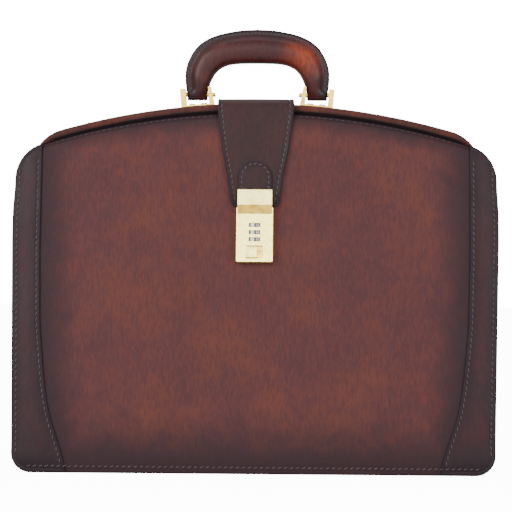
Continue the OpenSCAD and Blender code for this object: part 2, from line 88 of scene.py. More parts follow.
WHEEL_AXIS = JOINTS["wheel_1_turn"]["axis"]
LEAN = math.atan2(WHEEL_AXIS[1], WHEEL_AXIS[2])
SIN, COS = math.sin(LEAN), math.cos(LEAN)
SLOPE = 1 / COS

# The walls: a flat plane that leans on its foot, in its own across and up directions.
PANEL_HIGH = box("front_panel")[1]
FOOT_Y = pivot("front_wall_hinge")[1]
BULGE_X = PANEL_HIGH[0]
EDGE_X = BULGE_X - 4.4
LEATHER_T = 2.2
BOARD_T = 1.6
LINING_T = 0.8
WALL_T = LEATHER_T + BOARD_T + LINING_T
STRIP_T = 1.8
STRIP_SUNK = 0.38
LIFT = WALL_T * SIN
WALL_TOP = (PANEL_HIGH[2] - LIFT) / COS
WALL_ARCH_R = 641
SHOULDER_X = EDGE_X + 3
FOOT_R = 18
SHOULDER_R = 33

# The arched frame and its leather.
COVER_LOW, COVER_HIGH = box("front_frame_cover")
REAR_COVER_LOW, REAR_COVER_HIGH = box("rear_frame_cover")
FRAME_TOP = COVER_HIGH[2]
FRAME_HALF_W = COVER_HIGH[0]
FRAME_ARCH_R = 650
FRAME_SHOULDER_R = 37
FRAME_INNER_R = 16
FRAME_BAND = 22
FRAME_ARM = 9
ARM_END_Z = COVER_LOW[2]
COVER_T = 2
COVER_ROUND = 3.2
# How far down its face the cover is left unshaded; below this it is painted dark, as painted shadow of the
# gap under the frame.
COVER_SHOWN = 6.7
HINGE_Z = pivot("front_frame_hinge")[2]

HANDLE_PIN = pivot("handle_hinge")
HANDLE_END_Z = 338
GRIP_R = 9.6
GRIP_END_R = 5.2
FLANGE_W = 6.0
FLANGE_T = 3.4

ANCHOR_LOW, ANCHOR_HIGH = box("strap_anchor")
STRAP_T = ANCHOR_HIGH[2] - ANCHOR_LOW[2] - 0.8
STRAP_GAP = 0.2
STRAP_END_Z = 236.6
STRAP_SPLIT_Y = -22.0
STRAP_CORNER_R = 5.5

# The lock, with distances up the wall and out from it.
CASE_LOW = box("lock_case")[0]
LOCK_FOOT = (CASE_LOW[2] - LIFT) / COS
LOCK_FACE = (FOOT_Y + LOCK_FOOT * SIN - CASE_LOW[1]) / COS
CASE_T = 1.2
RECESS_HALF_W = 7.65
BUTTON_W = 10.2
BUTTON_H = 11.7
BUTTON_UP = LOCK_FOOT + 8.8
WHEEL_R = box("lock_wheel_1")[1][0]
WHEEL_H = 3.4
HASP_LIP_Z = box("hasp")[0][2] + 8.0

GUSSET_FOOT = 6
GUSSET_RISE = HINGE_Z - 3
GUSSET_INSET = 6.5
GUSSET_FOLD = 46
GUSSET_T = 1.8
LINING_HALF_W = EDGE_X - 27

# ---------- flat outlines ----------


def arc(cx, cz, radius, start, end, steps):
    """Points on a circle from one angle to another, in degrees."""
    angles = np.radians(np.linspace(start, end, steps))
    return np.column_stack([cx + radius * np.cos(angles), cz + radius * np.sin(angles)])


def subdivided(points, step, closed=True):
    """The same polyline with extra points, so that no stretch is longer than step."""
    points = np.asarray(points, float)
    ends = np.roll(points, -1, axis=0) if closed else points[1:]
    starts = points if closed else points[:-1]
    out = []
    for a, b in zip(starts, ends):
        count = max(1, math.ceil(np.linalg.norm(b - a) / step))
        for i in range(count):
            out.append(a + (b - a) * i / count)
    if not closed:
        out.append(points[-1])
    return np.array(out)


def rectangle(left, low, right, high, step):
    """A rectangle's outline, counter-clockwise from its lower left corner."""
    return subdivided([[left, low], [right, low], [right, high], [left, high]], step)


def travelled(points):
    """Distance along a polyline at each of its points."""
    return np.concatenate([[0], np.cumsum(np.linalg.norm(np.diff(points, axis=0), axis=1))])


def sample(at, travel, rows):
    """The rows' values at a distance, or at many, along a polyline; one array a column."""
    return np.array([np.interp(at, travel, column) for column in np.transpose(rows)])


def fillet_centre(crown, arc_r, half_w, fillet_r):
    """Centre of the right-hand fillet under an arch, as (x, z)."""
    x = half_w - fillet_r
    z = crown - arc_r + math.sqrt((arc_r - fillet_r) ** 2 - x**2)
    return x, z


def arch_path(crown, arc_r, half_w, fillet_r, bottom, counts):
    """An arch from its lower right end over the top to its lower left end."""
    side_n, fillet_n, top_n = counts
    x, z = fillet_centre(crown, arc_r, half_w, fillet_r)
    lean = math.degrees(math.atan2(x, z - crown + arc_r))
    side = np.column_stack([np.full(side_n, half_w), np.linspace(bottom, z, side_n)])
    fillet = arc(x, z, fillet_r, 0, 90 - lean, fillet_n)
    top = arc(0, crown - arc_r, arc_r, 90 - lean, 90, top_n // 2)
    right = np.vstack([side, fillet[1:], top[1:]])
    left = right[-2::-1] * [-1, 1]
    return np.vstack([right, left])


WALL_SIDE = [
    (EDGE_X, 0),
    (EDGE_X, 28 * SLOPE),
    (BULGE_X, 208 * SLOPE),
    (BULGE_X, 232 * SLOPE),
    (SHOULDER_X, 256 * SLOPE),
]


def wall_edge_x(up):
    """Half width of a wall at a height along it."""
    return np.interp(up, [p[1] for p in WALL_SIDE], [p[0] for p in WALL_SIDE])


def wall_top(x):
    """Height of a wall's top edge, along the wall."""
    return WALL_TOP - WALL_ARCH_R + np.sqrt(WALL_ARCH_R**2 - np.asarray(x) ** 2)


def below_top(x, up):
    """How far a point of a wall lies below its top edge."""
    return wall_top(np.clip(x, -SHOULDER_X, SHOULDER_X)) - up


def wall_outline():
    """A wall's outline, counter-clockwise from the middle of its foot."""
    z = fillet_centre(WALL_TOP, WALL_ARCH_R, SHOULDER_X, SHOULDER_R)[1]
    foot = arc(EDGE_X - FOOT_R, FOOT_R, FOOT_R, -90, 0, 10)
    side = WALL_SIDE[1:]
    arch = arch_path(WALL_TOP, WALL_ARCH_R, SHOULDER_X, SHOULDER_R, z, (1, 8, 80))
    right = np.vstack([[[0, 0]], foot, side, arch[: len(arch) // 2 + 1]])
    left = right[-2:0:-1] * [-1, 1]
    return subdivided(np.vstack([right, left]), 4.5)


# How far a side strip reaches in from the wall's edge, by height along the wall.
SEAM_IN = np.array([
    [-1, 50.5], [11, 47.5], [25, 43.3], [40, 37.5], [51, 34.2], [62, 31.6],
    [84, 28.5], [130, 23.8], [200, 22], [400, 21.6],
])


def seam_x(up):
    """Where the inner edge of a side strip runs, at a height along the wall."""
    fine = np.linspace(-1, 400, 402)
    reach = np.interp(fine, SEAM_IN[:, 0], SEAM_IN[:, 1])
    smooth = np.convolve(np.pad(reach, 12, "edge"), np.ones(25) / 25, "valid")
    return EDGE_X - np.interp(up, fine, smooth)


def strip_outline():
    """Outline of the right-hand side strip."""
    wall = wall_outline()
    kept = wall[wall[:, 0] > seam_x(wall[:, 1]) + 0.5]
    ups = np.linspace(kept[-1, 1], 0, 90)
    seam = np.column_stack([seam_x(ups), ups])
    return subdivided(np.vstack([kept, seam]), 4)


# ---------- meshes ----------


def link(obj):
    """Puts a new object into the scene."""
    bpy.context.scene.collection.objects.link(obj)
    return obj


def make_mesh(name, points, faces, material, body=None):
    """A smooth mesh from points in millimetres; it remembers its rest points for its material."""
    points = np.asarray(points, float)
    mesh = bpy.data.meshes.new(name)
    mesh.from_pydata((points * MM).tolist(), [], faces)
    rest = mesh.attributes.new("rest", "FLOAT_VECTOR", "POINT")
    rest.data.foreach_set("vector", points.astype(np.float32).ravel())
    mesh.materials.append(material)
    mesh.polygons.foreach_set("use_smooth", [True] * len(mesh.polygons))
    obj = link(bpy.data.objects.new(name, mesh))
    if body:
        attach(obj, body)
    return obj


def stand_for(obj, slot, *nodes):
    """Hides the CAD nodes that a piece replaces."""
    if nodes:
        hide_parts(*nodes)


def set_value(obj, name, values):
    """Stores one number a point, for the material to read."""
    attributes = obj.data.attributes
    attribute = attributes.get(name) or attributes.new(name, "FLOAT", "POINT")
    attribute.data.foreach_set("value", np.asarray(values, np.float32))


def get_value(obj, name):
    """The numbers that set_value stored."""
    values = np.empty(len(obj.data.vertices), np.float32)
    obj.data.attributes[name].data.foreach_get("value", values)
    return values


def set_edges(obj, edge_mm, rim):
    """Stores what leather reads: the distance to an edge, and 1 where the cut edge is painted. On the frame
    cover and a wall's top edge they also place painted shadow.
    """
    set_value(obj, "edge_mm", edge_mm)
    set_value(obj, "rim", rim)


@contextmanager
def editing(obj):
    """Opens a mesh for editing, and turns its faces outwards at the end."""
    work = bmesh.new()
    work.from_mesh(obj.data)
    yield work
    bmesh.ops.recalc_face_normals(work, faces=work.faces)
    work.to_mesh(obj.data)
    work.free()


def join_points(obj):
    """Joins points that lie in the same place, such as where the rays of a leaf meet."""
    with editing(obj) as work:
        bmesh.ops.remove_doubles(work, verts=work.verts, dist=0.00002)


def fill_ends(obj, rows, columns):
    """Closes the two open ends of a sweep."""
    with editing(obj) as work:
        work.verts.ensure_lookup_table()
        work.faces.new([work.verts[i] for i in range(columns)][::-1])
        work.faces.new([work.verts[(rows - 1) * columns + i] for i in range(columns)])


def grid_faces(rows, columns, close_columns=False, flip=False, start=0):
    """Quads of a grid of points stored row by row."""
    faces = []
    last = columns if close_columns else columns - 1
    for r in range(rows - 1):
        for c in range(last):
            d = (c + 1) % columns
            quad = (r * columns + c, r * columns + d, (r + 1) * columns + d, (r + 1) * columns + c)
            quad = tuple(start + q for q in quad)
            faces.append(quad[::-1] if flip else quad)
    return faces


def distance_to_line(points, line, closed):
    """Distance from each flat point to a polyline."""
    ends = np.roll(line, -1, axis=0) if closed else line[1:]
    starts = line if closed else line[:-1]
    best = np.full(len(points), 1e9)
    for a, b in zip(starts, ends):
        ab = b - a
        t = np.clip(((points - a) @ ab) / max(ab @ ab, 1e-9), 0, 1)
        best = np.minimum(best, np.linalg.norm(points - a - t[:, None] * ab, axis=1))
    return best


EDGE_RINGS = (0, 0.12, 0.35, 0.7, 1.1, 1.6, 2.2, 2.9, 3.5, 4.1, 4.8, 6, 8, 11, 15)
CLOTH_RINGS = (0, 0.5, 2, 6)


def leaf(name, outline, spine, top, bottom, to_world, material, body=None,
         inner_steps=8, rings=EDGE_RINGS, free_edge=None):
    """A sheet of leather or cloth with a thick edge.

    outline: its flat shape, counter-clockwise. spine(points): where each edge point's ray ends.
    top(x, s, d) and bottom(x, s, d): the two faces' heights; d is the distance to the edge.
    to_world(x, s, out): where a flat point with a height goes.
    free_edge: the part of the outline that counts for d, if not all of it.
    """
    inner = spine(outline)
    ray = inner - outline
    length = np.maximum(np.linalg.norm(ray, axis=1), 1e-6)
    tangent = np.roll(outline, -1, axis=0) - np.roll(outline, 1, axis=0)
    normal = np.column_stack([-tangent[:, 1], tangent[:, 0]])
    normal /= np.maximum(np.linalg.norm(normal, axis=1), 1e-9)[:, None]
    facing = np.maximum(np.abs(np.einsum("ij,ij->i", ray, normal)) / length, 0.25)
    shares = [np.minimum(d / (length * facing), 0.9) for d in rings]
    last = shares[-1]
    shares += [last + (1 - last) * i / inner_steps for i in range(1, inner_steps + 1)]
    flat = np.vstack([outline + ray * share[:, None] for share in shares])
    if free_edge is None:
        d = distance_to_line(flat, outline, True)
        d[: len(outline)] = 0
    else:
        d = distance_to_line(flat, free_edge, False)
    x, s = flat[:, 0], flat[:, 1]
    upper = to_world(x, s, top(x, s, d))
    lower = to_world(x, s, bottom(x, s, d))
    columns, rows = len(outline), len(shares)
    total = rows * columns
    faces = grid_faces(rows, columns, True)
    faces += grid_faces(rows, columns, True, True, total)
    for c in range(columns):
        n = (c + 1) % columns
        faces.append((c, total + c, total + n, n))
    obj = make_mesh(name, np.vstack([upper, lower]), faces, material, body)
    set_edges(obj, np.tile(d, 2), np.tile(np.clip(1 - d / 0.9, 0, 1), 2))
    join_points(obj)
    return obj


def round_edge(d, radius):
    """How far a face drops near its edge, for an edge rounded with a radius."""
    r = np.clip(radius - d, 0, radius)
    return radius - np.sqrt(np.maximum(radius**2 - r**2, 0))


def groove(d, at, depth, width=1.3):
    """A shallow channel that runs a set distance from the edge."""
    return depth * np.exp(-((d - at) / width) ** 2 * 2)


def rough(x, y, scale, seed=0.0):
    """Smooth noise for each pair of numbers, about -1 to 1."""
    return np.array([noise.noise(Vector((a / scale, b / scale, seed))) for a, b in zip(x, y)])


# ---------- the walls' surface ----------


BAND = 4.2


def top_band(x, up):
    """1 in the dark band along a wall's top edge, 0 elsewhere."""
    return np.clip((BAND - below_top(x, up)) / 0.6 + 0.5, 0, 1)


def wall_surface(x, up):
    """How far the outer face of a wall stands out from its flat plane.

    The sides roll back, the foot tucks in, and the middle is a soft pillow.
    """
    to_side = wall_edge_x(up) - np.abs(x)
    roll = -4.4 * np.clip(1 - to_side / 27, 0, 1) ** 2.1
    foot = -1.6 * np.clip(1 - up / 16, 0, 1) ** 2
    middle = np.clip((np.abs(x) - 48) / 30, 0, 1) * np.clip(to_side / 40, 0, 1)
    pillow = 1.1 * middle * np.sin(np.clip(up / WALL_TOP, 0, 1) * math.pi)
    soft = 0.5 * rough(x, up, 46, 3.1) * middle * np.clip(up / 60, 0, 1)
    return roll + foot + pillow + soft


def wall_place(side):
    """to_world for the front (-1) or rear (1) wall."""

    def place(x, up, out):
        y = FOOT_Y - out * COS + up * SIN
        z = LIFT + out * SIN + up * COS
        return np.column_stack([x, -side * y, z])

    return place


def wall_normal(side, x, up):
    """Outward direction of a wall's surface at flat points."""
    place = wall_place(side)
    step = 0.5

    def at(x, up):
        return place(x, up, wall_surface(x, up))

    across = at(x + step, up) - at(x - step, up)
    along = at(x, up + step) - at(x, up - step)
    out = np.cross(across, along) * (-side)
    return out / np.linalg.norm(out, axis=1)[:, None]


# ---------- materials ----------


def srgb(r, g, b):
    """A colour given as 0-255 screen values, as linear values with alpha."""
    def one(v):
        v /= 255
        return v / 12.92 if v <= 0.04045 else ((v + 0.055) / 1.055) ** 2.4
    return (one(r), one(g), one(b), 1)


class Nodes:
    """A short way to write a node tree. A value is a plain one, or another node's output."""

    def __init__(self, tree):
        self.tree = tree
        tree.nodes.clear()

    def node(self, kind, inputs=None, output=0, **settings):
        """Adds a node, fills its inputs by name or number, and returns one of its outputs."""
        made = self.tree.nodes.new(kind)
        for key, value in settings.items():
            setattr(made, key, value)
        for key, value in (inputs or {}).items():
            if isinstance(value, bpy.types.NodeSocket):
                self.tree.links.new(value, made.inputs[key])
            else:
                made.inputs[key].default_value = value
        return made.outputs[output] if made.outputs else None


class Shade(Nodes):
    """A material whose patterns lie on a mesh's rest points, or on its object's points."""

    def __init__(self, name, space="rest"):
        self.material = bpy.data.materials.new(name)
        self.material.use_nodes = True
        super().__init__(self.material.node_tree)
        if space == "rest":
            self.place = self.node("ShaderNodeAttribute", None, "Vector", attribute_name="rest")
        else:
            metres = self.node("ShaderNodeTexCoord", None, "Object")
            scale = {0: metres, "Scale": 1 / MM}
            self.place = self.node("ShaderNodeVectorMath", scale, operation="SCALE")

    def stretched(self, x, y, z):
        """The place scaled by three factors, for grain that runs one way."""
        return self.node("ShaderNodeVectorMath", {0: self.place, 1: (x, y, z)}, operation="MULTIPLY")

    def noise(self, size, detail, rough_, distort=0.0, place=None):
        """Noise whose features are about size millimetres."""
        inputs = {"Vector": place or self.place, "Scale": 1 / size, "Detail": detail}
        inputs.update({"Roughness": rough_, "Distortion": distort})
        return self.node("ShaderNodeTexNoise", inputs, "Fac")

    def cells(self, size):
        """Distance to the nearest of many points about size millimetres apart."""
        return self.node("ShaderNodeTexVoronoi", {"Vector": self.place, "Scale": 1 / size}, "Distance")

    def value(self, name):
        """The numbers that set_value stored on the points."""
        return self.node("ShaderNodeAttribute", None, "Fac", attribute_name=name)

    def span(self, value, low, high, out_low=0.0, out_high=1.0):
        """A smooth step between two values."""
        inputs = {"Value": value, "From Min": low, "From Max": high, "To Min": out_low, "To Max": out_high}
        return self.node("ShaderNodeMapRange", inputs, "Result", interpolation_type="SMOOTHSTEP")

    def add(self, a, b):
        return self.node("ShaderNodeMath", {0: a, 1: b}, operation="ADD")

    def minus(self, a, b):
        return self.node("ShaderNodeMath", {0: a, 1: b}, operation="SUBTRACT")

    def times(self, a, b):
        return self.node("ShaderNodeMath", {0: a, 1: b}, operation="MULTIPLY")

    def mix(self, share, a, b):
        """Colour a where share is 0, and colour b where it is 1."""
        return self.node("ShaderNodeMix", {0: share, 6: a, 7: b}, 2, data_type="RGBA")

    def ramp(self, value, stops):
        """A colour scale with stops of (position, colour)."""
        colour = self.node("ShaderNodeValToRGB", {0: value})
        elements = colour.node.color_ramp.elements
        while len(elements) < len(stops):
            elements.new(0.5)
        for element, (at, shade) in zip(elements, stops):
            element.position = at
            element.color = shade
        return colour

    def bump(self, height, depth, strength, normal=None):
        """Bump whose full height is depth millimetres."""
        inputs = {"Strength": strength, "Distance": depth * MM, "Height": height}
        if normal:
            inputs["Normal"] = normal
        return self.node("ShaderNodeBump", inputs)

    def near(self, x, y, z, radius):
        """1 at a point, falling to 0 at a distance."""
        inputs = {0: self.place, 1: (x, y, z)}
        away = self.node("ShaderNodeVectorMath", inputs, "Value", operation="DISTANCE")
        return self.span(away, 0, radius, 1, 0)

    def finish(self, colour, roughness, normal=None, **others):
        """Makes the surface, and returns the material."""
        inputs = {"Base Color": colour, "Roughness": roughness}
        if normal:
            inputs["Normal"] = normal
        inputs.update({key.replace("_", " "): value for key, value in others.items()})
        surface = self.node("ShaderNodeBsdfPrincipled", inputs)
        self.node("ShaderNodeOutputMaterial", {"Surface": surface})
        return self.material


def leather(name, dark, middle, light, burnt_and_shaded, burnish_and_shade_reach, burnish_and_shade_share, grain=0.16, wrinkle=0.5,
            spots=(), shine=0.42, gloss=0.1, rim=(0.006, 0.004, 0.005, 1)):
    """Waxed, clouded leather that is burnished darker towards its edges; on the frame leather the same
    darkening is painted shadow along the gap under the cover.

    The fifth to seventh arguments give the darker colour, how far in from an edge it reaches, and its
    strength.
    grain and wrinkle: depths of the pores and the creases. shine: roughness. gloss: mirror part.
    spots: places with a colour of their own, as (x, y, z, radius, colour, share).
    """
    s = Shade(name)
    cloud = s.noise(60, 3, 0.55, 0.4)
    patch = s.noise(21, 4, 0.6, 0.5)
    tone = s.add(s.times(cloud, 0.6), s.times(patch, 0.4))
    colour = s.ramp(tone, [(0.34, dark), (0.50, middle), (0.64, light)])
    for x, y, z, radius, spot_colour, share in spots:
        here = s.times(s.near(x, y, z, radius), s.span(patch, 0.3, 0.7, 0.6, 1.0))
        colour = s.mix(s.times(here, share), colour, spot_colour)
    streak = s.noise(2.0, 3, 0.6, 0.7, s.stretched(1.0, 1.0, 0.2))
    colour = s.mix(s.span(streak, 0.40, 0.52, 0.55, 0.0), colour, dark)
    colour = s.mix(s.span(streak, 0.50, 0.64, 0.0, 0.45), colour, light)
    # Darker towards the edges: burnishing on most leathers, painted shadow along the gap on the frame
    # leather.
    edge = s.value("edge_mm")
    wander = s.times(s.minus(patch, 0.5), burnish_and_shade_reach * 0.55)
    shade = s.span(s.add(edge, wander), 0, burnish_and_shade_reach, burnish_and_shade_share, 0)
    colour = s.mix(shade, colour, burnt_and_shaded)
    # Rim colour on cut edges: black edge paint by default, a lighter blue painted highlight on the strap and
    # strips; on the wall's top edge and the frame cover the rim mask also lays painted shadow.
    colour = s.mix(s.times(s.value("rim"), 0.9), colour, rim)
    pores = s.cells(0.9)
    fine = s.noise(0.7, 3, 0.6)
    creases = s.noise(2.8, 4, 0.65, 1.2, s.stretched(1.0, 1.0, 0.24))
    normal = s.bump(s.add(s.times(pores, 0.6), fine), grain, 0.55)
    normal = s.bump(creases, wrinkle, 0.5, normal)
    rough_value = s.add(s.span(patch, 0.3, 0.7, shine, shine + 0.12),
                         s.times(creases, 0.06))
    shine_left = s.times(s.minus(1.0, s.value("rim")), gloss)
    return s.finish(colour, rough_value, normal, Specular_IOR_Level=shine_left)


def thread_material(name, colour, dark):
    """Waxed thread with a twist."""
    s = Shade(name)
    twist = s.noise(0.6, 2, 0.5)
    shade = s.mix(s.span(twist, 0.3, 0.7), dark, colour)
    return s.finish(shade, 0.62, s.bump(twist, 0.15, 0.6))


def cloth_material(name, dark, light):
    """Woven lining with fine crossing threads."""
    s = Shade(name)
    threads = {"Vector": s.place, "Scale": 0.5, "Distortion": 0.6}
    across = s.node("ShaderNodeTexWave", threads, "Fac", wave_type="BANDS", bands_direction="X")
    upward = s.node("ShaderNodeTexWave", threads, "Fac", wave_type="BANDS", bands_direction="Z")
    weave = s.times(across, upward)
    stain = s.noise(60, 4, 0.6)
    colour = s.mix(s.span(stain, 0.3, 0.7), dark, light)
    colour = s.mix(s.times(weave, 0.35), colour, light)
    soft = s.noise(24, 3, 0.5)
    normal = s.bump(soft, 1.2, 0.5, s.bump(weave, 0.25, 0.7))
    return s.finish(colour, 0.86, normal)


def metal(name, colour, dark, roughness, wear=0.5):
    """Brushed plated metal with faint tarnish and handling marks."""
    s = Shade(name, "object")
    brushed = s.noise(0.22, 3, 0.6, 0, s.stretched(1, 1, 0.04))
    tarnish = s.noise(9, 4, 0.65, 0.6)
    smudge = s.noise(3, 3, 0.6, 0.3)
    shade = s.mix(s.span(tarnish, 0.45, 0.8, 0, wear), colour, dark)
    shade = s.mix(s.times(s.span(brushed, 0.3, 0.7), 0.16), shade, dark)
    rough_value = s.add(roughness, s.span(smudge, 0.3, 0.7, -0.05, 0.09))
    return s.finish(shade, rough_value, s.bump(brushed, 0.03, 0.5), Metallic=1.0)


BROWN = leather("burnished_brown", srgb(56, 31, 34), srgb(67, 35, 35), srgb(76, 40, 33),
                srgb(33, 22, 26), 42, 0.9, grain=0.22, wrinkle=0.7)
# The strips' rim colour is edge paint made a lighter blue, as painted highlight along their raised edges.
STRIP = leather("strip_leather", srgb(34, 18, 22), srgb(40, 22, 26), srgb(48, 24, 27),
                srgb(22, 15, 19), 16, 0.75, shine=0.36, gloss=0.12, rim=srgb(34, 28, 38))
# The strap's rim colour is edge paint made a lighter blue, as painted highlight along its raised bead.
STRAP = leather("strap_leather", srgb(36, 24, 25), srgb(41, 27, 28), srgb(47, 29, 28),
                srgb(28, 22, 25), 8, 0.5, wrinkle=0.25, rim=srgb(46, 42, 52))
# Frame leather: its darkest colour is painted shadow, laid along the gap under the cover by make_frame_cover.
FRAME_LEATHER = leather("frame_leather", srgb(46, 23, 20), srgb(60, 29, 24), srgb(74, 35, 27),
                        srgb(20, 12, 12), 9, 0.9, wrinkle=0.3)
HANDLE = leather("handle_leather", srgb(36, 15, 18), srgb(50, 19, 19), srgb(64, 23, 19),
                 srgb(20, 14, 17), 13, 0.85, wrinkle=0.2, shine=0.32, gloss=0.2,
                 spots=[(44, 2, 378, 30, srgb(126, 46, 14), 0.85)])
GUSSET = leather("gusset_leather", srgb(34, 19, 19), srgb(50, 26, 24), srgb(64, 33, 26),
                 srgb(22, 14, 16), 18, 0.6, wrinkle=0.9)
THREAD = thread_material("thread", srgb(70, 54, 62), srgb(38, 28, 34))
LINING = cloth_material("lining_cloth", srgb(122, 96, 70), srgb(160, 132, 98))
BRASS = metal("pale_brass", srgb(255, 238, 140), srgb(222, 176, 70), 0.26)
WARM_BRASS = metal("warm_brass", srgb(246, 206, 96), srgb(176, 122, 44), 0.30)
STEEL = metal("satin_steel", srgb(150, 150, 152), srgb(92, 92, 96), 0.36)
OLD_BRASS = metal("old_brass", srgb(128, 98, 58), srgb(62, 46, 30), 0.38, wear=0.8)


def hasp_material():
    """Pale brass whose slanted lip, which faces downwards, is painted a deeper amber as shade."""
    s = Shade("hasp_brass", "object")
    height = s.node("ShaderNodeSeparateXYZ", {0: s.place}, "Z")
    lip = s.span(height, HASP_LIP_Z - 0.4, HASP_LIP_Z + 0.4, 1, 0)
    brushed = s.noise(0.22, 3, 0.6, 0, s.stretched(1, 1, 0.04))
    tarnish = s.noise(7, 4, 0.65, 0.6)
    face = s.mix(s.span(tarnish, 0.45, 0.8, 0, 0.4), srgb(255, 242, 150), srgb(232, 196, 96))
    # Painted shade: the downward-facing lip gets a deeper amber, varied by the tarnish.
    shaded_lip = s.mix(s.span(tarnish, 0.35, 0.7), srgb(222, 184, 84), srgb(178, 138, 54))
    colour = s.mix(lip, face, shaded_lip)
    rough_value = s.add(s.span(tarnish, 0.3, 0.7, 0.22, 0.34), s.times(lip, 0.1))
    return s.finish(colour, rough_value, s.bump(brushed, 0.03, 0.5), Metallic=1.0)


def wheel_material():
    """Steel, white and black, told apart by a value on the points. The white facets are a painted highlight;
    the digits are black on them and white on the steel facets.
    """
    s = Shade("number_wheels")
    kind = s.value("kind")
    scratches = s.noise(0.4, 4, 0.65, 0, s.stretched(1, 1, 0.1))
    steel = s.mix(s.span(scratches, 0.35, 0.7), srgb(112, 110, 104), srgb(58, 56, 54))
    # White: painted highlight on the white facets, and the white digits on the steel facets.
    white = s.mix(s.span(scratches, 0.4, 0.8), srgb(246, 242, 236), srgb(206, 200, 190))
    colour = s.mix(s.span(kind, 0.3, 0.7), steel, white)
    colour = s.mix(s.span(kind, 1.3, 1.7), colour, srgb(22, 20, 20))
    shiny = s.span(kind, 0.3, 0.7, 0.7, 0.0)
    return s.finish(colour, 0.36, s.bump(scratches, 0.04, 0.5), Metallic=shiny)


HASP = hasp_material()
WHEEL = wheel_material()

# ---------- stitching ----------


class Stitching:
    """Collects stitches for one body, and makes one mesh of them."""

    def __init__(self, name, body=None):
        self.name, self.body = name, body
        self.points, self.faces = [], []

    def row(self, points, normals, pitch=5.3, length=3.9, radius=0.42, slant=14):
        """Slanted stitches along a line on a surface."""
        travel = travelled(points)
        count = int(travel[-1] // pitch)
        for i in range(count):
            at = (i + 0.5) * travel[-1] / count
            along = sample(at + 0.8, travel, points) - sample(at - 0.8, travel, points)
            out = sample(at, travel, normals)
            self.stitch(sample(at, travel, points), along, out, length, radius, slant)

    def stitch(self, middle, along, out, length, radius, slant):
        """One thread bump that dives into its two holes."""
        out = out / np.linalg.norm(out)
        along = along - out * (along @ out)
        along /= np.linalg.norm(along)
        across = np.cross(out, along)
        turn = math.radians(slant)
        run = along * math.cos(turn) + across * math.sin(turn)
        beside = np.cross(out, run)
        first = len(self.points)
        sides = 6
        for share in (-1, -0.8, -0.4, 0, 0.4, 0.8, 1):
            width = radius * (1 - 0.45 * abs(share) ** 3)
            height = radius * (0.55 - 1.35 * share**4)
            centre = middle + run * share * length / 2 + out * height
            for k in range(sides):
                angle = 2 * math.pi * k / sides
                spoke = beside * math.cos(angle) + out * math.sin(angle)
                self.points.append(centre + spoke * width)
        self.faces += grid_faces(7, sides, True, False, first)

    def make(self):
        return make_mesh(self.name, self.points, self.faces, THREAD, self.body)


# ---------- walls ----------


def wall_spine(points):
    """Rays of a wall's leaf run to a short level line in its middle."""
    x = np.clip(points[:, 0], -140, 140) * 0.75
    return np.column_stack([x, np.full(len(x), WALL_TOP * 0.47)])


def strip_spine(points):
    """Rays of a strip's leaf run to its centre line."""
    up = np.clip(points[:, 1], 24, 268)
    return np.column_stack([np.sign(points[:, 0]) * (seam_x(up) + wall_edge_x(up)) / 2, up])


def make_wall(word, side, body):
    """Leather, strips, lining and stitching of the front or rear wall."""
    place = wall_place(side)
    panel = leaf(
        word + "_panel_leather", wall_outline(), wall_spine,
        lambda x, up, d: wall_surface(x, up) - round_edge(d, 1.2) - 0.7 * top_band(x, up),
        lambda x, up, d: wall_surface(x, up) - LEATHER_T - BOARD_T + round_edge(d, 1.2),
        place, BROWN, body, inner_steps=22,
    )
    mark_panel(panel)
    stand_for(panel, "brown_leather", word + "_panel", word + "_board")
    stitching = Stitching(word + "_wall_stitching", body)
    for hand, sign in (("left", -1), ("right", 1)):
        outline = strip_outline()
        if sign < 0:
            outline = outline[::-1] * [-1, 1]
        strip = leaf(
            f"{word}_{hand}_strip_leather", outline, strip_spine,
            lambda x, up, d: wall_surface(x, up) + STRIP_T - round_edge(d, 1.1) - groove(d, 3.6, 0.35),
            lambda x, up, d: wall_surface(x, up) - STRIP_SUNK,
            place, STRIP, body, rings=EDGE_RINGS[:12], inner_steps=5,
        )
        darken_foot(strip)
        stand_for(strip, "dark_leather", f"{word}_{hand}_strip")
        stitch_strip(stitching, side, sign)
    stitch_panel(stitching, side)
    stitching.make()
    make_lining(word, place, body)


def make_lining(word, place, body):
    """Slightly uneven cloth on the inner side of a wall."""

    def inside(x, up, d):
        flat = np.minimum(wall_surface(x, up) - WALL_T, -WALL_T + 0.3)
        return flat + 0.3 * rough(x, up, 30, 8)

    lining = leaf(
        word + "_lining_cloth", lining_outline(8), wall_spine,
        lambda x, up, d: wall_surface(x, up) - LEATHER_T - BOARD_T,
        inside, place, LINING, body, rings=CLOTH_RINGS, inner_steps=14,
    )
    stand_for(lining, "lining_fabric", word + "_lining")


def flat_rest(obj):
    """Across and up places of a wall mesh's points at rest."""
    rest = np.empty(len(obj.data.vertices) * 3, np.float32)
    obj.data.attributes["rest"].data.foreach_get("vector", rest)
    rest = rest.reshape(-1, 3)
    return rest[:, 0], (rest[:, 2] - LIFT) / COS


def mark_panel(panel):
    """Paints a wall's top edge black, as edge paint and as painted shadow of the gap under the frame cover,
    and spreads its burnished darkening from its strips, foot and top edge.
    """
    x, up = flat_rest(panel)
    # Edge paint and painted shadow: the top 1 mm of the wall is black, fading out by 1.8 mm, for the dark gap
    # under the frame cover.
    dark = np.clip(1 - (below_top(x, up) - 1.0) / 0.8, 0, 1)
    rim = np.maximum.reduce([get_value(panel, "rim"), dark, 0.3 * top_band(x, up)])
    from_strip = 1.1 * (seam_x(up) - np.abs(x))
    from_top = 1.9 * below_top(x, up)
    from_foot = 0.85 * (up - 8)
    nearest = np.minimum.reduce([from_strip, from_top, from_foot])
    set_edges(panel, np.maximum(nearest, 0), rim)


def darken_foot(strip):
    """Spreads a strip's burnished darkening over its lowest part."""
    up = flat_rest(strip)[1]
    set_value(strip, "edge_mm", np.minimum(get_value(strip, "edge_mm"), 0.3 * up))


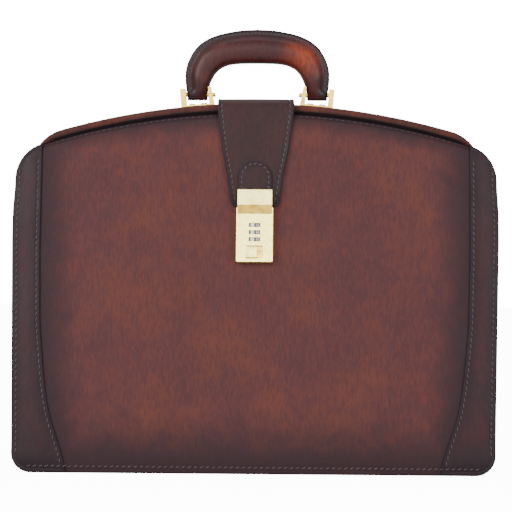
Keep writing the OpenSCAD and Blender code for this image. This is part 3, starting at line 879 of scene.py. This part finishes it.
def lining_outline(inset):
    """The wall's outline pulled in by about an inset, and kept clear of the gussets' folds."""
    outline = wall_outline()
    centre = np.array([0, WALL_TOP / 2])
    size = np.array([BULGE_X, WALL_TOP / 2])
    shrunk = centre + (outline - centre) * (size - inset) / size
    shrunk[:, 0] = np.clip(shrunk[:, 0], -LINING_HALF_W, LINING_HALF_W)
    return shrunk


def stitch_line(stitching, side, flat, lift, **settings):
    """A row of stitches along a flat line on a wall."""
    x, up = flat[:, 0], flat[:, 1]
    points = wall_place(side)(x, up, wall_surface(x, up) + lift)
    stitching.row(points, wall_normal(side, x, up), **settings)


def stitch_strip(stitching, side, sign):
    """Rows near both long edges of a side strip."""
    ups = np.linspace(8, 283, 150)
    inner = np.column_stack([sign * (seam_x(ups) + 3.4), ups])
    ups = np.linspace(17, 274, 150)
    outer = np.column_stack([sign * (wall_edge_x(ups) - 4.4), ups])
    for line in (inner, outer):
        stitch_line(stitching, side, line, STRIP_T - 0.25, slant=14 * sign)


def stitch_panel(stitching, side):
    """Rows along the foot and under the top edge of a wall."""
    x = np.linspace(-EDGE_X + 14, EDGE_X - 14, 300)
    lift = np.where(np.abs(x) > seam_x(5.5) - 1, STRIP_T - 0.25, -0.2)
    stitch_line(stitching, side, np.column_stack([x, np.full(len(x), 5.8)]), lift, slant=24)
    top_rows = ((-183, -38), (38, 183)) if side < 0 else ((-183, 183),)
    for low, high in top_rows:
        x = np.linspace(low, high, 160)
        line = np.column_stack([x, wall_top(x) - 2.2])
        stitch_line(stitching, side, line, -0.95, radius=0.26, length=2.6)


# ---------- frame covers ----------


def sweep(name, outer, inner, profile, material, body):
    """A band between two matched (x, z) paths. profile rows are (share inwards, y, extra outwards)."""
    tangent = np.gradient(outer, axis=0)
    normal = np.column_stack([tangent[:, 1], -tangent[:, 0]])
    normal /= np.linalg.norm(normal, axis=1)[:, None]
    points = []
    for o, i, n in zip(outer, inner, normal):
        for share, y, extra in profile:
            p = o + (i - o) * share + n * extra
            points.append((p[0], y, p[1]))
    faces = grid_faces(len(outer), len(profile), True)
    obj = make_mesh(name, points, faces, material, body)
    fill_ends(obj, len(outer), len(profile))
    return obj


def cover_paths():
    """Matched outer and inner paths of the frame's band."""
    counts = (8, 14, 90)
    outer = arch_path(FRAME_TOP, FRAME_ARCH_R, FRAME_HALF_W, FRAME_SHOULDER_R, ARM_END_Z, counts)
    inner = arch_path(FRAME_TOP - FRAME_BAND, FRAME_ARCH_R - FRAME_BAND, FRAME_HALF_W - FRAME_ARM,
                      FRAME_INNER_R, ARM_END_Z, counts)
    return outer, inner


def make_frame_cover(word, side, face_y, open_y, body):
    """Leather wrapped round a frame bar, open towards the other half."""
    outer, inner = cover_paths()
    back_y = face_y - side * COVER_T
    share = 1 / FRAME_BAND
    profile = [(0, open_y, 0.0), (0, (face_y + open_y) / 2, 0.25)]
    for a in np.linspace(0, math.pi / 2, 8):
        y = face_y - side * COVER_ROUND * (1 - math.sin(a))
        profile.append((0, y, -COVER_ROUND * (1 - math.cos(a))))
    profile += [(mm * share, face_y, 0) for mm in (3.8, 4.4, 5.0, 5.6, 6.4, 7.5, 10, 14)]
    profile += [
        (1 - COVER_ROUND * share, face_y, 0),
        (1 - 1.2 * share, face_y - side * 0.4, 0),
        (1, face_y - side * 1.6, 0),
        (1, open_y, 0),
        (1 - COVER_T * share, open_y, 0),
        (1 - COVER_T * share, back_y, 0),
        (0, back_y, -COVER_T),
        (0, open_y, -COVER_T),
    ]
    obj = sweep(word + "_frame_leather", outer, inner, profile, FRAME_LEATHER, body)
    # Painted shadow: the cover darkens towards COVER_SHOWN down its face and is painted nearly black below
    # it, for the gap under the frame.
    down = np.tile([p[0] * FRAME_BAND - min(p[2], 0) for p in profile], len(outer))
    set_edges(obj, np.clip(COVER_SHOWN - down, 0, None) * 3.2,
              np.clip((down - COVER_SHOWN + 1.2) / 1.2, 0, 0.9))
    stand_for(obj, "brown_leather", word + "_frame_cover")


# ---------- gussets ----------


def gusset_point(sign, side, t, s):
    """A point of a side gusset: t runs up, s runs from the fold (0) to a wall (1)."""
    up = GUSSET_FOOT + t * GUSSET_RISE
    wall_y = -side * (FOOT_Y + (WALL_T + 0.6) * COS + up * SIN)
    wall_x = EDGE_X - GUSSET_INSET - 16.5 * max(0, (up - 180) / 73) ** 1.5
    arch = math.sin(math.pi * min(1, t * 1.02)) ** 0.9
    reach = GUSSET_FOLD * arch * (0.35 + 0.65 * (1 - abs(t - 0.55)))
    fold = reach * (1 - s) ** 1.25
    puff = 3.5 * math.sin(math.pi * s) * math.sin(math.pi * t)
    x = wall_x - fold + puff
    z = LIFT + up * COS - 3 * (1 - s) * math.sin(math.pi * t)
    return sign * x, wall_y * s, z


def border(rows, columns):
    """Indices of the outermost points of a grid, in order."""
    index = np.arange(rows * columns).reshape(rows, columns)
    sides = [index[0], index[1:, -1], index[-1, -2::-1], index[-2:0:-1, 0]]
    return np.concatenate(sides).tolist()


def make_gusset(hand, sign):
    """The two halves of a side gusset, each bending with its wall."""
    rows, columns = 60, 26
    for word, side, body in (("front", -1, "front_wall"), ("rear", 1, "rear_wall")):
        outer = np.array([[gusset_point(sign, side, r / (rows - 1), c / (columns - 1))
                           for c in range(columns)] for r in range(rows)])
        normal = np.cross(np.gradient(outer, axis=0), np.gradient(outer, axis=1))
        normal /= np.linalg.norm(normal, axis=2)[:, :, None]
        normal *= np.sign(normal[rows // 2, columns // 2, 0]) * sign
        inner = outer - normal * GUSSET_T
        total = rows * columns
        faces = grid_faces(rows, columns) + grid_faces(rows, columns, False, True, total)
        index = border(rows, columns)
        for a, b in zip(index, index[1:] + index[:1]):
            faces.append((a, b, total + b, total + a))
        points = np.vstack([outer.reshape(-1, 3), inner.reshape(-1, 3)])
        obj = make_mesh(f"{hand}_gusset_{word}_half", points, faces, GUSSET)
        s = np.tile(np.linspace(0, 1, columns), rows)
        set_edges(obj, np.tile((1 - s) * 40 + 4, 2), np.zeros(2 * total))
        join_points(obj)
        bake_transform(obj, "body_base", body, (0, 0, 0.15), (0, side * 0.034, 0.15))
        stand_for(obj, "brown_leather", *([hand + "_gusset"] if word == "front" else []))


# ---------- base ----------


def base_place(x, s, out):
    """to_world for the base, whose ends turn up."""
    flat_x = EDGE_X - FOOT_R
    bend = np.clip((np.abs(x) - flat_x) / FOOT_R, 0, math.pi / 2)
    radius = FOOT_R - out
    turned = np.abs(x) > flat_x
    wx = np.where(turned, np.sign(x) * (flat_x + radius * np.sin(bend)), x)
    wz = np.where(turned, FOOT_R - radius * np.cos(bend), out)
    return np.column_stack([wx, s, wz])


def middle_line(half_length, level=0.0):
    """A spine that lies across the middle of a sheet."""

    def spine(points):
        x = np.clip(points[:, 0], -half_length, half_length)
        return np.column_stack([x, np.full(len(x), level)])

    return spine


def make_base():
    """Leather base with turned-up ends, and its lining."""
    half_y = box("base_panel")[1][1] - 1
    flat_x = EDGE_X - FOOT_R
    end_x = flat_x + FOOT_R * math.pi / 2
    outline = rectangle(-end_x, -half_y, end_x, half_y, 4)
    outline[:, 1] *= np.where(np.abs(outline[:, 0]) > flat_x + 2, (half_y - 2.5) / half_y, 1)
    base = leaf("base_leather", outline, middle_line(180),
                lambda x, s, d: LEATHER_T - round_edge(d, 0.8),
                lambda x, s, d: round_edge(d, 0.8), base_place, BROWN, "body_base", inner_steps=8)
    stand_for(base, "brown_leather", "base_panel", "base_board")
    low, high = box("base_lining")
    cloth = leaf("base_lining_cloth", rectangle(low[0], low[1], high[0], high[1], 6), middle_line(180),
                 lambda x, s, d: high[2] + 0.4 * rough(x, s, 35, 5) * np.clip(d / 10, 0, 1),
                 lambda x, s, d: np.full(len(x), LEATHER_T), lambda x, s, out: np.column_stack([x, s, out]),
                 LINING, "body_base", rings=CLOTH_RINGS, inner_steps=10)
    stand_for(cloth, "lining_fabric", "base_lining")


def make_pocket():
    """Soft pocket on the rear lining."""
    low, high = box("inner_pocket")
    bottom = (low[2] - LIFT) / COS
    top = (high[2] - LIFT) / COS

    def belly(x, up, d):
        lower = np.clip((top - up) / (top - bottom), 0, 1)
        swell = 3.6 * np.clip(d / 14, 0, 1) ** 0.7 * (0.5 + 0.5 * lower)
        return -WALL_T - 1.0 - swell - 0.4 * rough(x, up, 20)

    pocket = leaf("inner_pocket_cloth", rectangle(-high[0], bottom, high[0], top, 4),
                  middle_line(60, (bottom + top) / 2),
                  lambda x, up, d: np.full(len(x), 0.2 - WALL_T), belly,
                  wall_place(1), LINING, "rear_wall", rings=(0, 0.4, 1.2, 3, 6, 10), inner_steps=8)
    stand_for(pocket, "lining_fabric", "inner_pocket")


# ---------- strap ----------


def strap_path():
    """Side view of the strap's underside: from its rear end over the frame and down the wall."""
    rear = np.array([ANCHOR_HIGH[1], ANCHOR_LOW[2]])

    def on_wall(height):
        up = height * SLOPE
        y = FOOT_Y - STRAP_GAP * COS + up * SIN
        return np.array([y, LIFT + STRAP_GAP * SIN + up * COS])

    end = on_wall(STRAP_END_Z)
    corner = np.array([on_wall(ANCHOR_LOW[2] - 6)[0] + 0.9, ANCHOR_LOW[2]])
    bend_in = corner + [STRAP_CORNER_R, 0]
    bend_out = corner + (end - corner) / np.linalg.norm(end - corner) * STRAP_CORNER_R
    curve = []
    for t in np.linspace(0, 1, 12):
        curve.append((1 - t) ** 2 * bend_in + 2 * t * (1 - t) * corner + t**2 * bend_out)
    return subdivided(np.vstack([[rear], curve, [end]]), 2.0, False)


STRAP_LINE = strap_path()
STRAP_TRAVEL = travelled(STRAP_LINE)
STRAP_LENGTH = STRAP_TRAVEL[-1]
STRAP_SPLIT = ANCHOR_HIGH[1] - STRAP_SPLIT_Y


def strap_frame(s):
    """Point and outward direction of the strap's underside at a distance along it."""
    y, z = sample(s, STRAP_TRAVEL, STRAP_LINE)
    step = 1.2
    dy, dz = sample(s + step, STRAP_TRAVEL, STRAP_LINE) - sample(s - step, STRAP_TRAVEL, STRAP_LINE)
    size = np.hypot(dy, dz)
    return y, z, dz / size, -dy / size


def strap_place(x, s, out):
    y, z, ny, nz = strap_frame(s)
    return np.column_stack([x, y + ny * out, z + nz * out])


def strap_half_width(s):
    """Half width of the strap at a distance along it."""
    z = sample(s, STRAP_TRAVEL, STRAP_LINE)[1]
    width = np.interp(z, [STRAP_END_Z, 239, 266, 289, 325], [21.3, 21.6, 25.3, 30.2, 34.6])
    corner = 4.5
    into = np.maximum(corner - (STRAP_LENGTH - s), 0)
    return width - (corner - np.sqrt(np.maximum(corner**2 - into**2, 0)))


def strap_side(low, high):
    """Points up one side of the strap, between two distances along it."""
    near_end = STRAP_LENGTH - np.geomspace(0.02, 5, 12)
    s = np.unique(np.concatenate([np.arange(low, high, 2.0), [high], near_end]))
    s = s[(s >= low) & (s <= high)]
    return np.column_stack([strap_half_width(s), s])


def strap_top(x, s, d):
    """Thickness with a rounded bead at the edge and a channel for the stitches."""
    bead = 0.45 * np.exp(-((d - 1.3) / 0.9) ** 2)
    dome = 0.25 * np.clip(d / 30, 0, 1)
    return STRAP_T - 0.15 - round_edge(d, 1.4) + bead - groove(d, 3.7, 0.45) + dome


def make_strap():
    """The strap in two lengths that meet where it is rigid, each bending at one hinge."""
    whole = strap_side(0, STRAP_LENGTH)
    edge = np.vstack([whole, [[0, STRAP_LENGTH]], (whole * [-1, 1])[::-1]])
    fold_z = ANCHOR_LOW[2] * MM
    for word, low, high, nodes, bodies, start, end in (
        ("rear", 0.0, STRAP_SPLIT, ("strap_anchor",), ("rear_frame", "strap_fold"),
         (0, 0.004, fold_z), (0, -0.0205, fold_z)),
        ("front", STRAP_SPLIT, STRAP_LENGTH, ("strap_bridge", "strap_flap"), ("strap_fold", "strap_end"),
         (0, -0.0345, fold_z + 0.0075), (0, -0.044, fold_z - 0.012)),
    ):
        right = strap_side(low, high)
        left = right * [-1, 1]
        outline = np.vstack([right, subdivided([right[-1], left[-1]], 3, False)[1:-1],
                             left[::-1], subdivided([left[0], right[0]], 3, False)[1:-1]])
        spine_top = high - 14 if word == "front" else high

        def spine(points, low=low + 0.01, high=spine_top):
            return np.column_stack([np.zeros(len(points)), np.clip(points[:, 1], low, high)])

        strap = leaf(f"strap_{word}_leather", outline, spine, strap_top,
                     lambda x, s, d: round_edge(d, 1.2), strap_place, STRAP,
                     rings=EDGE_RINGS[:13], inner_steps=8, free_edge=edge)
        stand_for(strap, "dark_leather", *nodes)
        thread = Stitching(f"strap_{word}_stitching")
        s = np.linspace(max(low, 3), min(high, STRAP_LENGTH - 5), 120)
        for sign in (-1, 1):
            points = strap_place(sign * (strap_half_width(s) - 3.7), s, STRAP_T - 0.62)
            _, _, out_y, out_z = strap_frame(s)
            thread.row(points, np.column_stack([0 * s, out_y, out_z]), pitch=5.0, slant=12 * sign)
        for piece in (thread.make(), strap):
            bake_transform(piece, *bodies, start, end)


def make_tab():
    """The small rounded layer above the hasp."""
    low, high = box("strap_tab")
    half_w = high[0]
    top = (high[2] - LIFT) / COS
    bottom = (low[2] - LIFT) / COS
    right = np.vstack([[[half_w, bottom]], arc(0, top - half_w, half_w, 0, 90, 16)])
    outline = subdivided(np.vstack([right, right[-2::-1] * [-1, 1]]), 2.5)
    base_out = STRAP_GAP + STRAP_T - 0.3

    def spine(points):
        return np.column_stack([np.zeros(len(points)), np.clip(points[:, 1], bottom + 8, top - half_w)])

    def face(x, up, d):
        dome = 0.15 * np.clip(d / 8, 0, 1)
        return base_out + 2.5 - round_edge(d, 1.2) - groove(d, 3, 0.35, 1.0) + dome

    tab = leaf("strap_tab_leather", outline, spine, face,
               lambda x, up, d: np.full(len(x), base_out), wall_place(-1), STRAP, "strap_end", inner_steps=5)
    stand_for(tab, "dark_leather", "strap_tab")
    thread = Stitching("strap_tab_stitching", "strap_end")
    inset = half_w - 2.8
    over = arc(0, top - half_w, inset, 0, 180, 40)
    line = np.vstack([[[inset, bottom + 12]], over, [[-inset, bottom + 12]]])
    line = subdivided(line, 1.5, False)
    points = wall_place(-1)(line[:, 0], line[:, 1], np.full(len(line), base_out + 2.2))
    out = np.tile([0, -COS, SIN], (len(line), 1))
    thread.row(points, out, pitch=4.5, length=3.3, radius=0.5, slant=16)
    thread.make()


# ---------- handle ----------

# Outer and inner edge of the handle's right half, from its end up to its middle, as (x, z).
HANDLE_OUTER = np.array([
    [64.6, 338], [65.2, 343], [66.3, 350], [66.9, 357], [66.5, 366.3], [63.7, 375.6], [58.6, 384.5],
    [53.6, 389.8], [46.9, 394.4], [38.6, 398.0], [28.0, 400.8], [14.0, 403.0], [0, 403.7],
])
HANDLE_INNER = np.array([
    [46.2, 338], [45.8, 345], [44.3, 351], [42.0, 356.8], [38.8, 362.2], [34.6, 366.4], [29.0, 369.4],
    [23.0, 370.9], [16.0, 371.6], [10.5, 371.8], [5.0, 371.9], [0, 371.9],
])


def spline(points, count):
    """A smooth curve through points, evenly sampled."""
    travel = travelled(points)
    padded = np.vstack([2 * points[0] - points[1], points, 2 * points[-1] - points[-2]])
    out = []
    for at in np.linspace(0, travel[-1], count):
        i = min(np.searchsorted(travel, at, side="right") - 1, len(points) - 2)
        t = (at - travel[i]) / (travel[i + 1] - travel[i])
        p0, p1, p2, p3 = padded[i:i + 4]
        out.append(0.5 * (2 * p1 + (p2 - p0) * t + (2 * p0 - 5 * p1 + 4 * p2 - p3) * t**2
                          + (3 * p1 - p0 - 3 * p2 + p3) * t**3))
    return np.array(out)


def handle_profile(width, depth, flange):
    """Half a cross-section as (distance from the inner side, y): a round grip and a flat flange."""
    tube = width - flange
    half = []
    for a in np.radians(np.linspace(0, 134, 16)):
        half.append((tube / 2 - tube / 2 * math.cos(a), depth * math.sin(a) ** 0.8))
    low = FLANGE_T
    foot = max(tube - 0.3, half[-1][0] + 0.2)
    half += [(foot, low + 0.5), (foot + flange * 0.2, low), (foot + flange * 0.5, low), (width - 0.9, low),
             (width - 0.2, low * 0.7), (width, low * 0.3)]
    return half


def make_handle():
    """Padded grip with a stitched flange along its outer side."""
    outer, inner = spline(HANDLE_OUTER, 64), spline(HANDLE_INNER, 64)
    outer = np.vstack([outer, outer[-2::-1] * [-1, 1]])
    inner = np.vstack([inner, inner[-2::-1] * [-1, 1]])
    widths = np.linalg.norm(outer - inner, axis=1)
    runs = (outer - inner) / widths[:, None]
    centre_y = HANDLE_PIN[1]
    points, edge = [], []
    for o, i, width, run in zip(outer, inner, widths, runs):
        rise = np.clip((o[1] - HANDLE_END_Z) / 24, 0, 1)
        depth = GRIP_END_R + (GRIP_R - GRIP_END_R) * rise**0.7
        flange = FLANGE_W * np.clip((o[1] - HANDLE_END_Z - 5) / 7, 0.08, 1)
        half = handle_profile(width, depth, flange)
        section = half + [(a, -b) for a, b in half[::-1]][:-1]
        for a, b in section:
            p = i + run * a
            points.append((p[0], centre_y + b, p[1]))
            edge.append(width - a)
    columns = len(points) // len(outer)
    faces = grid_faces(len(outer), columns, True)
    obj = make_mesh("handle_grip_leather", points, faces, HANDLE, "handle")
    fill_ends(obj, len(outer), columns)
    set_edges(obj, edge, np.clip(1 - np.array(edge) / 1.2, 0, 1))
    stand_for(obj, "brown_leather", "handle_cover", "handle_core")
    thread = Stitching("handle_stitching", "handle")
    line = outer - runs * 3.3
    line = line[line[:, 1] > 350]
    for face in (-1, 1):
        points = np.column_stack([line[:, 0], np.full(len(line), centre_y + face * 3.3), line[:, 1]])
        out = np.tile([0, face, 0], (len(line), 1))
        thread.row(points, out, pitch=3.6, length=2.5, radius=0.36, slant=10)
    thread.make()


# ---------- metal ----------


def soften(node, width, material, segments):
    """Gives a CAD node its finish and softened edges."""
    obj = frame["nodes"][node]
    obj.data.materials.clear()
    obj.data.materials.append(material)
    bevel = obj.modifiers.new("soft_edges", "BEVEL")
    bevel.width = width * MM
    bevel.segments = segments
    bevel.limit_method = "ANGLE"
    bevel.harden_normals = True


def pillow(name, half_w, half_h, face, back, dome, centre, material, body):
    """A rounded block on the lock with a softly domed face; heights are measured out from the wall."""
    place = wall_place(-1)
    ring = rectangle(-half_w, -half_h, half_w, half_h, 0.9)
    corner = 0.7
    inside = np.clip(ring, [-half_w + corner, -half_h + corner], [half_w - corner, half_h - corner])
    reach = ring - inside
    length = np.maximum(np.linalg.norm(reach, axis=1), 1e-9)[:, None]
    ring = inside + reach / length * corner
    rows = [(1.0, back - face)]
    rows += [(1 - 0.05 * (1 - math.cos(a)), 0.5 * (math.sin(a) - 1)) for a in np.linspace(0, math.pi / 2, 5)]
    rows += [(share, 0.0) for share in (0.85, 0.7, 0.5, 0.3, 0.12, 0.01)]
    points = []
    for share, drop in rows:
        x, up = ring[:, 0] * share, ring[:, 1] * share
        swell = dome * (1 - share**2)
        points.append(place(x + centre[0], up + centre[1], face + drop + swell + 0 * x))
    obj = make_mesh(name, np.vstack(points), grid_faces(len(rows), len(ring), True), material, body)
    fill_ends(obj, len(rows), len(ring))
    return obj


def make_button():
    """The sliding button, its flange, and the floor of the slot it slides in."""
    middle = (BUTTON_W / 2 - RECESS_HALF_W, BUTTON_UP)
    inner = LOCK_FACE - CASE_T
    button = pillow("lock_button_cap", BUTTON_W / 2 - 0.1, BUTTON_H / 2 - 0.45, LOCK_FACE + 0.9, inner - 1.1,
                    0.35, middle, BRASS, "lock_slider")
    stand_for(button, "brass", "lock_button")
    floor = pillow("lock_slot_floor", 9.3, BUTTON_H / 2, inner - 2.7, inner - 3.1, 0.0, (0, BUTTON_UP),
                   WARM_BRASS, "front_wall")
    stand_for(floor, "brass")


# The seven bars that digits are made of, as (x, y, x, y) on a unit square, and each digit's bars.
DIGIT_BARS = {
    "a": (0, 1, 1, 1), "b": (1, 0.5, 1, 1), "c": (1, 0, 1, 0.5), "d": (0, 0, 1, 0),
    "e": (0, 0, 0, 0.5), "f": (0, 0.5, 0, 1), "g": (0, 0.5, 1, 0.5),
}
DIGITS = ("abcdef", "bc", "abged", "abgcd", "fgbc", "afgcd", "afgecd", "abc", "abcdefg", "abcdfg")


def make_wheel(number):
    """A ten-sided number wheel: white and steel facets in turn, each with a digit, and grooves between. The
    white facets are a painted highlight; the first one is set on the wheel's left, where the light catches
    it.
    """
    centre = pivot(f"wheel_{number}_turn")
    axis = np.array(WHEEL_AXIS)
    ahead = np.array([0, -COS, SIN])
    right = np.array([1.0, 0, 0])
    facet = math.radians(36)
    start = math.radians(-22)
    flat = WHEEL_R * 0.955
    half_h = WHEEL_H / 2
    heights = [(-half_h, 0.45), (-half_h + 0.3, 0.0), (half_h - 0.3, 0.0), (half_h, 0.45)]
    points, faces, kinds = [], [], []

    def at(angle, radius, up):
        return centre + (right * math.sin(angle) + ahead * math.cos(angle)) * radius + axis * up

    def add_grid(rows, kind, closed=False):
        first = len(points)
        points.extend(p for row in rows for p in row)
        kinds.extend([kind] * (len(rows) * len(rows[0])))
        faces.extend(grid_faces(len(rows), len(rows[0]), closed, False, first))

    for i in range(10):
        middle = start + i * facet
        # Every other facet is white, a painted highlight; facet 0 sits on the left of the window.
        white = i % 2 == 0
        spread, next_spread = (0.47, 0.40) if white else (0.40, 0.47)
        spread *= facet
        next_spread *= facet
        angles = np.linspace(-spread, spread, 7)
        rows = [[at(middle + a, flat / math.cos(a) - drop, up) for a in angles] for up, drop in heights]
        add_grid(rows, 1.0 if white else 0.0)
        gap = np.linspace(middle + spread, middle + facet - next_spread, 4)
        rows = [[at(a, flat / math.cos(spread) - drop - 0.35 * math.sin(math.pi * k / 3), up)
                 for k, a in enumerate(gap)] for up, drop in heights]
        add_grid(rows, 0.0)
        bold = 0.16 if white else 0.2
        for bar in DIGITS[i]:
            x0, y0, x1, y1 = DIGIT_BARS[bar]
            across = ((x0 - 0.5) * 1.3 - bold, (x1 - 0.5) * 1.3 + bold)
            upward = ((y0 - 0.5) * 1.9 - bold, (y1 - 0.5) * 1.9 + bold)
            rows = [[at(middle + a / flat, flat + 0.04 + a * a / flat / 2, u) for a in across]
                    for u in upward]
            add_grid(rows, 2.0 if white else 1.0)
    turns = np.linspace(0, 2 * math.pi, 41)[:-1]
    for up in (-half_h, half_h):
        rows = [[at(a, radius, up) for a in turns] for radius in (flat - 0.4, 1.6)]
        add_grid(rows, 0.0, True)
    obj = make_mesh(f"lock_wheel_{number}_digits", points, faces, WHEEL, f"wheel_{number}")
    set_value(obj, "kind", kinds)
    stand_for(obj, "brass", f"lock_wheel_{number}")


def make_metal():
    """The CAD's own metal nodes with their finishes, and the rebuilt button and wheels."""
    for material, width, segments, nodes in (
        (BRASS, 0.35, 3, ("lock_case",)),
        (HASP, 0.35, 3, ("hasp",)),
        (WARM_BRASS, 0.7, 3, ("left_handle_bracket", "right_handle_bracket")),
        (WARM_BRASS, 0.4, 3, ("handle_pins", "frame_hinge_pins", "handle_bushings", "strap_rivets")),
        (WARM_BRASS, 0.15, 2, ("lock_latch",)),
        (OLD_BRASS, 0.15, 2, ("front_frame_bar", "rear_frame_bar")),
        (STEEL, 0.15, 2, ("bracket_rivets", "lock_backplate", "lock_rivets", "wheel_shaft", "detent_spring")),
    ):
        for node in nodes:
            soften(node, width, material, segments)
    make_button()
    for number in (1, 2, 3):
        make_wheel(number)


# ---------- studio ----------


WORLD_LIGHT = 0.8
BACKDROP = 16.0
FLOOR_GLOW = 12.0
CAMERA_DISTANCE = 1.887
CAMERA_HEIGHT = 0.1934
CAMERA_TURN = 1.4
CAMERA_ROLL = 0.36
CAMERA_LENS = 143.5


def area_light(name, place, target, size, power):
    """A soft rectangular light that faces a point; places are in metres."""
    data = bpy.data.lights.new(name, "AREA")
    data.shape = "RECTANGLE"
    data.size, data.size_y = size
    data.energy = power
    obj = link(bpy.data.objects.new(name, data))
    obj.location = place
    obj.rotation_mode = "QUATERNION"
    obj.rotation_quaternion = (Vector(target) - obj.location).to_track_quat("-Z", "Y")


def floor_material():
    """Pale matt floor that reads nearly white from the camera."""
    s = Shade("pale_floor", "object")
    glow = s.times(s.node("ShaderNodeLightPath", None, "Is Camera Ray"), FLOOR_GLOW)
    return s.finish((0.9, 0.9, 0.9, 1), 0.9, Emission_Color=(1, 1, 1, 1), Emission_Strength=glow)


def make_world():
    """Soft light from all round, and a white backdrop for the camera alone."""
    world = bpy.data.worlds.new("studio")
    bpy.context.scene.world = world
    world.use_nodes = True
    nodes = Nodes(world.node_tree)
    seen = nodes.node("ShaderNodeLightPath", None, "Is Camera Ray")
    levels = {"Value": seen, "To Min": WORLD_LIGHT, "To Max": BACKDROP}
    strength = nodes.node("ShaderNodeMapRange", levels, "Result")
    glow = nodes.node("ShaderNodeBackground", {"Color": (1, 1, 1, 1), "Strength": strength})
    nodes.node("ShaderNodeOutputWorld", {"Surface": glow})


def make_studio():
    """Floor, lights, backdrop and camera."""
    mesh = bpy.data.meshes.new("floor")
    mesh.from_pydata([(-6, -6, 0), (6, -6, 0), (6, 6, 0), (-6, 6, 0)], [], [(0, 1, 2, 3)])
    mesh.materials.append(floor_material())
    link(bpy.data.objects.new("floor", mesh))
    area_light("key", (-1.6, -1.7, 1.3), (0, 0, 0.2), (1.0, 1.0), 64)
    area_light("fill", (1.6, -1.7, 1.0), (0, 0, 0.2), (1.0, 1.0), 34)
    area_light("front", (0.1, -2.7, 1.0), (0, 0, 0.25), (1.7, 1.2), 30)
    area_light("top", (0, 0.4, 2.2), (0, 0, 0.2), (1.8, 1.2), 30)
    make_world()
    data = bpy.data.cameras.new("camera")
    data.lens = CAMERA_LENS
    data.clip_start, data.clip_end = 0.05, 50
    camera = link(bpy.data.objects.new("camera", data))
    turn = math.radians(CAMERA_TURN)
    camera.location = (CAMERA_DISTANCE * math.sin(turn), -CAMERA_DISTANCE * math.cos(turn), CAMERA_HEIGHT)
    camera.rotation_mode = "QUATERNION"
    level = Euler((math.radians(90), 0, turn)).to_quaternion()
    camera.rotation_quaternion = level @ Quaternion((0, 0, 1), math.radians(CAMERA_ROLL))
    bpy.context.scene.camera = camera


make_wall("front", -1, "front_wall")
make_wall("rear", 1, "rear_wall")
make_base()
make_pocket()
make_gusset("left", -1)
make_gusset("right", 1)
make_frame_cover("front", -1, COVER_LOW[1], COVER_HIGH[1], "front_frame")
make_frame_cover("rear", 1, REAR_COVER_HIGH[1], REAR_COVER_LOW[1], "rear_frame")
make_strap()
make_tab()
make_handle()
make_metal()
make_studio()
